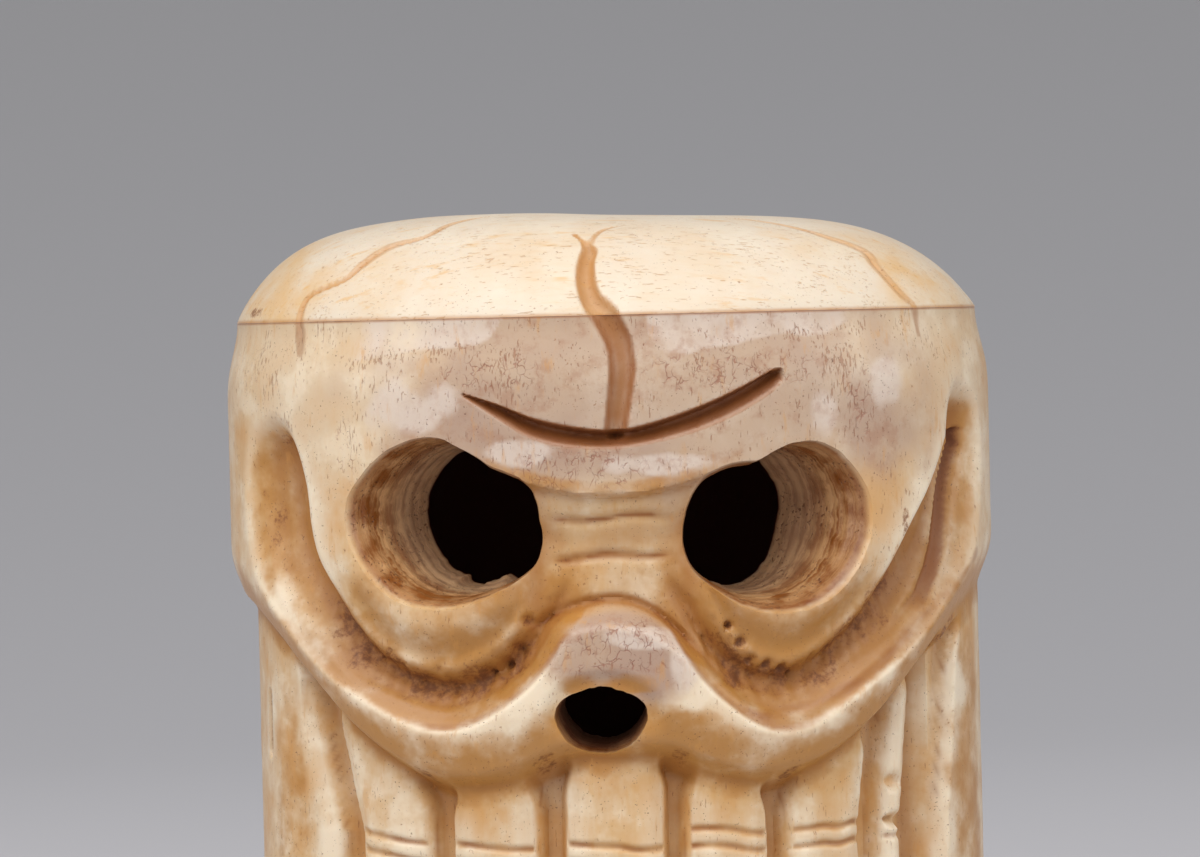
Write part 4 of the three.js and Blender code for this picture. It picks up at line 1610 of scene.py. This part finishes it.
    def broken_surface(self, shader: Shader, height: Value) -> Value:
        """Lay crazing, the gouged walls of the holes, umber in the deep cuts, and painted shade in the cavity
        and the nose hole.

        Args:
            shader: The material being built.
            height: The relief so far.

        Returns:
            The relief with the cracks and the gouge rings added.
        """
        wall = shader.read("wall")
        sunk = shader.read("sunk")
        warp = shader.noise(0.5, 2.0)
        warps = shader.add("ShaderNodeCombineXYZ", {}, {0: warp, 1: warp, 2: warp})
        bent = {0: warps, 1: (self.warp_by * MM,) * 3, 2: shader.stretched((1.0, 1.0, 0.55))}
        bent = shader.add("ShaderNodeVectorMath", {"operation": "MULTIPLY_ADD"}, bent)
        lines = shader.cells(bent, 0.34, "DISTANCE_TO_EDGE").rise(0.065, 0.015)
        cracks = lines * shader.read("crackle") * shader.noise(0.4, 3.0).rise(0.4, 0.6)
        shader.lay(cracks * 0.5, self.crack)
        banded = {"W": sunk + warp * 0.5, "Scale": 2.2, "Detail": 5.0, "Roughness": 0.65}
        rings = shader.add("ShaderNodeTexNoise", {"noise_dimensions": "1D"}, banded, "Fac")
        soft = rings * 0.45 + shader.noise(1.0, 4.0, 0.6) * 0.55
        gouged = shader.mix(soft.rise(0.4, 0.6), tint(*self.gouge_dark), tint(*self.gouge_light))
        gouged = shader.mix(sunk.rise(1.4, 3.4) * 0.55, gouged, tint(*self.gouge_inner))
        rim = sunk.rise(1.1, 0.1) * (0.3 + warp * 0.8)
        gouged = shader.mix(rim * 0.75, gouged, tint(*self.gouge_rim))
        specks = shader.spots((0.12, 2.0), (0.58, 0.68), 1.3, (0.44, 0.56))
        gouged = shader.mix(specks * 0.7, gouged, tint(*self.dark))
        shader.colour = shader.mix(wall, shader.colour, gouged)
        shader.lay(shader.read("umber") * (0.62 + warp * 0.3), self.umber)
        # Painted shade: the cavity and the deep part of the nose hole are laid near black.
        shader.lay(shader.read("inside"), self.cavity_shade)
        return height - cracks * 0.7 + wall * (rings - specks)


@dataclass
class Studio:
    """A pale floor that sweeps up behind, soft lights, and the camera at the photograph's place."""

    photo_width: float = 1200.0
    photo_height: float = 857.0
    pixels_per_mm: float = 25.27
    camera_away: float = 240.0
    joint_height: float = 28.0
    joint_pixel: float = 316.5
    axis_pixel: float = 607.3
    roll: float = 1.35
    sensor: float = 36.0
    sweep_flat: float = 150.0
    sweep_radius: float = 420.0
    sweep_half: float = 900.0
    sweep_front: float = 700.0
    sweep_top: float = 700.0
    near_paper: Rgb = (191, 190, 194)
    paper_painted_shade: Rgb = (144, 144, 145)
    paper_shade_fades: Floats = (0.02, 0.6)
    paper_roughness: float = 0.9
    looked_at: float = 16.0
    sky: Floats = (0.98, 0.98, 1.0, 1.0)
    sky_strength: float = 0.56

    def camera(self) -> bpy.types.Object:
        """Set the camera level with the joint, turned so that the joint falls on its pixel, and rolled."""
        focal = self.pixels_per_mm * self.camera_away
        pitch = math.atan((self.photo_height / 2.0 - self.joint_pixel) / focal)
        roll = math.radians(self.roll)
        right = Vector((math.cos(roll), 0.0, -math.sin(roll)))
        back = Vector((0.0, -1.0, 0.0))
        turned_back = back * math.cos(pitch) + Vector((0.0, 0.0, 1.0)) * math.sin(pitch)
        turned_up = turned_back.cross(right).normalized()
        data = bpy.data.cameras.new("camera")
        data.sensor_width = self.sensor
        data.lens = self.sensor * focal / self.photo_width
        data.clip_start = 0.01
        data.clip_end = 10.0
        made = bpy.data.objects.new("camera", data)
        bpy.context.scene.collection.objects.link(made)
        turn = Matrix((right, turned_up, turned_back)).transposed().to_4x4()
        aside = (self.photo_width / 2.0 - self.axis_pixel) / self.pixels_per_mm
        at = Vector((aside, -self.camera_away, self.joint_height)) * MM
        made.matrix_world = Matrix.Translation(at) @ turn
        bpy.context.scene.camera = made
        log.info("camera looks along %s", tuple(-turned_back))
        return made

    def light(self, name: str, place: tuple[float, float, float], size: float, watts: float,
              colour: tuple[float, float, float]) -> None:
        """Add a square soft light that faces the middle of the skull.

        Args:
            name: Its name.
            place: Where it stands, in millimetres.
            size: Length of its side, in millimetres.
            watts: Its power.
            colour: Its colour.
        """
        data = bpy.data.lights.new(name, "AREA")
        data.shape = "SQUARE"
        data.size = size * MM
        data.energy = watts
        data.color = colour
        made = bpy.data.objects.new(name, data)
        bpy.context.scene.collection.objects.link(made)
        made.location = Vector(place) * MM
        towards = Vector((0.0, 0.0, self.looked_at)) * MM - made.location
        made.rotation_euler = towards.to_track_quat("-Z", "Y").to_euler()

    def lights(self) -> None:
        """A large light above, a softer one from the front left, and a faint even sky."""
        self.light("light_above", (-60.0, -200.0, 340.0), 320.0, 0.93, (1.0, 0.99, 0.97))
        self.light("light_left", (-330.0, -260.0, 190.0), 260.0, 0.34, (1.0, 0.99, 0.98))
        self.light("light_right", (340.0, -220.0, 170.0), 260.0, 0.36, (1.0, 0.99, 0.98))
        world = bpy.data.worlds.new("sky")
        world.use_nodes = True
        background = world.node_tree.nodes["Background"].inputs
        background["Color"].default_value = self.sky
        background["Strength"].default_value = self.sky_strength
        bpy.context.scene.world = world

    def floor(self) -> bpy.types.Object:
        """Sweep of paper: flat below the skull, then a quarter circle, then upright; its colour darkens
        further back as painted shade.
        """
        turn = np.linspace(0.0, math.pi / 2.0, 40)
        y = np.concatenate([[-self.sweep_front, 0.0], self.sweep_flat + self.sweep_radius * np.sin(turn),
                            [self.sweep_flat + self.sweep_radius]])
        z = np.concatenate([[0.0, 0.0], self.sweep_radius * (1.0 - np.cos(turn)), [self.sweep_top]])
        profile = np.stack([np.zeros_like(y), y, z], axis=-1)
        sides = [profile + np.array([x, 0.0, 0.0]) for x in (-self.sweep_half, self.sweep_half)]
        points = np.concatenate(sides)
        count = len(y)
        k = np.arange(count - 1)
        faces = np.stack([k, k + count, k + count + 1, k + 1], axis=-1)
        mesh = bpy.data.meshes.new("paper_floor")
        mesh.from_pydata((points * MM).tolist(), [], faces.tolist())
        mesh.polygons.foreach_set("use_smooth", np.ones(len(faces), bool))
        mesh.update()
        made = bpy.data.objects.new("paper_floor", mesh)
        bpy.context.scene.collection.objects.link(made)
        shader = Shader("paper", self.near_paper)
        # Painted shade: the paper's colour darkens with distance behind the skull.
        apart = shader.add("ShaderNodeSeparateXYZ", {}, {0: shader.place}, "Y")
        shader.lay(apart.rise(*self.paper_shade_fades), self.paper_painted_shade)
        shader.wire(Base_Color=shader.colour)
        shader.surface["Roughness"].default_value = self.paper_roughness
        mesh.materials.append(shader.material)
        return made


def sutures() -> list[Suture]:
    """The suture down the forehead, and the one that arches over the crown from side to side."""
    front = Suture(
        across=(0.24, 0.47, 0.56, 0.45, 0.15, -0.06, -0.36, -0.62, -0.8, -0.86, -0.83, -0.74, -1.14, -1.62),
        climb=(-4.3, -2.74, -1.88, -1.01, -0.35, 0.0, 0.4, 0.85, 1.5, 2.25, 2.85, 3.5, 4.17, 4.72),
        widths=(0.85, 0.98, 1.02, 1.02, 1.0, 0.98, 0.92, 0.82, 0.74, 0.7, 0.62, 0.56, 0.14, 0.08),
        stains=(1.0, 1.15, 1.2, 1.2, 1.25, 1.25, 1.2, 1.0, 0.92, 0.85, 0.76, 0.72, 0.26, 0.2),
        depth=0.4,
    )
    fork = Suture(
        across=(-0.76, -0.39, 0.37, 1.18),
        climb=(3.64, 4.77, 5.5, 5.86),
        widths=(0.16, 0.14, 0.1, 0.06),
        stains=(0.35, 0.28, 0.24, 0.1),
        depth=0.1,
        full=0.12,
        tone=0.6,
    )
    crown = Suture(
        across=(-12.85, -13.0, -13.1, -13.25, -13.1, -11.75, -11.4, -10.9, -9.6, -9.5, -8.2, -4.6, 0.0, 4.6,
                8.8, 10.5, 11.4, 12.07, 13.0, 12.65, 12.75, 13.15, 13.2, 13.2),
        climb=(-1.1, -0.45, 0.0, 0.6, 1.1, 1.8, 2.57, 3.88, 4.75, 6.3, 8.0, 9.3, 9.8, 9.3, 8.0,
               6.4, 5.18, 4.19, 3.13, 2.19, 0.79, 0.12, -0.5, -1.0),
        widths=(0.08, 0.14, 0.16, 0.18, 0.2, 0.24, 0.2, 0.22, 0.2, 0.16, 0.08, 0.06, 0.06, 0.06, 0.08,
                0.12, 0.14, 0.16, 0.18, 0.16, 0.14, 0.12, 0.1, 0.06),
        stains=(0.5, 0.75, 0.6, 0.5, 0.45, 0.42, 0.6, 0.72, 0.5, 0.5, 0.1, 0.05, 0.05, 0.05, 0.1,
                0.4, 0.5, 0.65, 0.8, 0.7, 0.6, 0.5, 0.4, 0.2),
        depth=0.11,
        full=0.1,
        tone=0.62,
    )
    return [front, fork, crown]


def piercings() -> list[Piercing]:
    """The two eye sockets and the nose hole, each with the reach of its rim at a few bearings."""
    socket_bearings = (-180, -158, -136, -112, -90, -62, -30, 0, 30, 60, 100, 125, 150, 180)
    left = Piercing(Side.LEFT, 6.53, 20.3, socket_bearings,
                    (3.2, 2.85, 2.8, 3.45, 3.42, 3.6, 3.1, 2.95, 3.05, 3.25, 3.7, 3.5, 3.35, 3.2), 0.74, 0.88,
                    lift=0.1)
    right = Piercing(Side.RIGHT, 6.53, 20.3, socket_bearings,
                     (2.5, 2.2, 2.6, 3.25, 3.5, 3.8, 3.45, 3.25, 3.2, 3.2, 3.3, 3.25, 3.05, 2.5), 0.62, 0.86,
                     lift=0.1, roll=0.42, roll_reach=0.5, jag=0.25, seed=25)
    nose = Piercing(Side.RIGHT, -0.55, 12.85, (-180, -145, -102, -60, 0, 60, 102, 145, 180),
                    (1.22, 1.28, 1.74, 1.56, 1.45, 1.54, 1.72, 1.28, 1.22), 0.9, 0.84,
                    lift=0.3, roll=0.05, ring=0.015, jag=0.06, sides=110, seed=29)
    return [left, right, nose]


def main() -> None:
    """Build the body, the cap and the studio, and report each piece."""
    logging.basicConfig(level=logging.INFO, format="%(message)s")
    body_low, body_high = (Vector(corner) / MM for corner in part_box(BODY_NODE))
    cap_high = Vector(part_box(CAP_NODE)[1]) / MM
    tube = Tube((body_high.x - body_low.x) / 2.0, (body_high.y - body_low.y) / 2.0, body_high.z)
    dome = Dome(tube, cap_high.z - tube.height - Dome.glue_line - CROWN_WEAR)
    lines = sutures()
    carving = Carving(tube, dome, CheekChannel(), JawAndTeeth(), BrowAndNose(), lines)

    studio = Studio()
    studio.camera()
    studio.lights()
    studio.floor()

    body_finish = BoneFinish("carved bone", Grain.UPRIGHT, (222, 198, 166), (216, 174, 118), (172, 114, 52),
                             (152, 90, 36))
    cap_finish = BoneFinish("cap bone", Grain.ACROSS, (228, 212, 190), (222, 184, 132), (204, 150, 88),
                            (196, 138, 70), pore=(194, 138, 76), pale_highlight_cream=(234, 220, 198), gold=(224, 176, 108),
                            seam=(190, 130, 72), pore_share=0.67, smear=0.6, dot=0.4, roughness=0.38)
    skull = SkullBody(carving, piercings())
    body = skull.shape()
    skull.notes(body, ReliefMap(carving))
    body.data.materials.clear()
    body.data.materials.append(body_finish.material(carved=True))
    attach(body, "root")
    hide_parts(BODY_NODE)
    report(body)

    crown = SkullCap(dome, lines)
    cap = crown.shape()
    crown.notes(cap)
    cap.data.materials.append(cap_finish.material(carved=False))
    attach(cap, "root")
    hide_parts(CAP_NODE)
    report(cap)

    bpy.context.scene.view_settings.view_transform = "Standard"


if __name__ == "__main__":
    main()
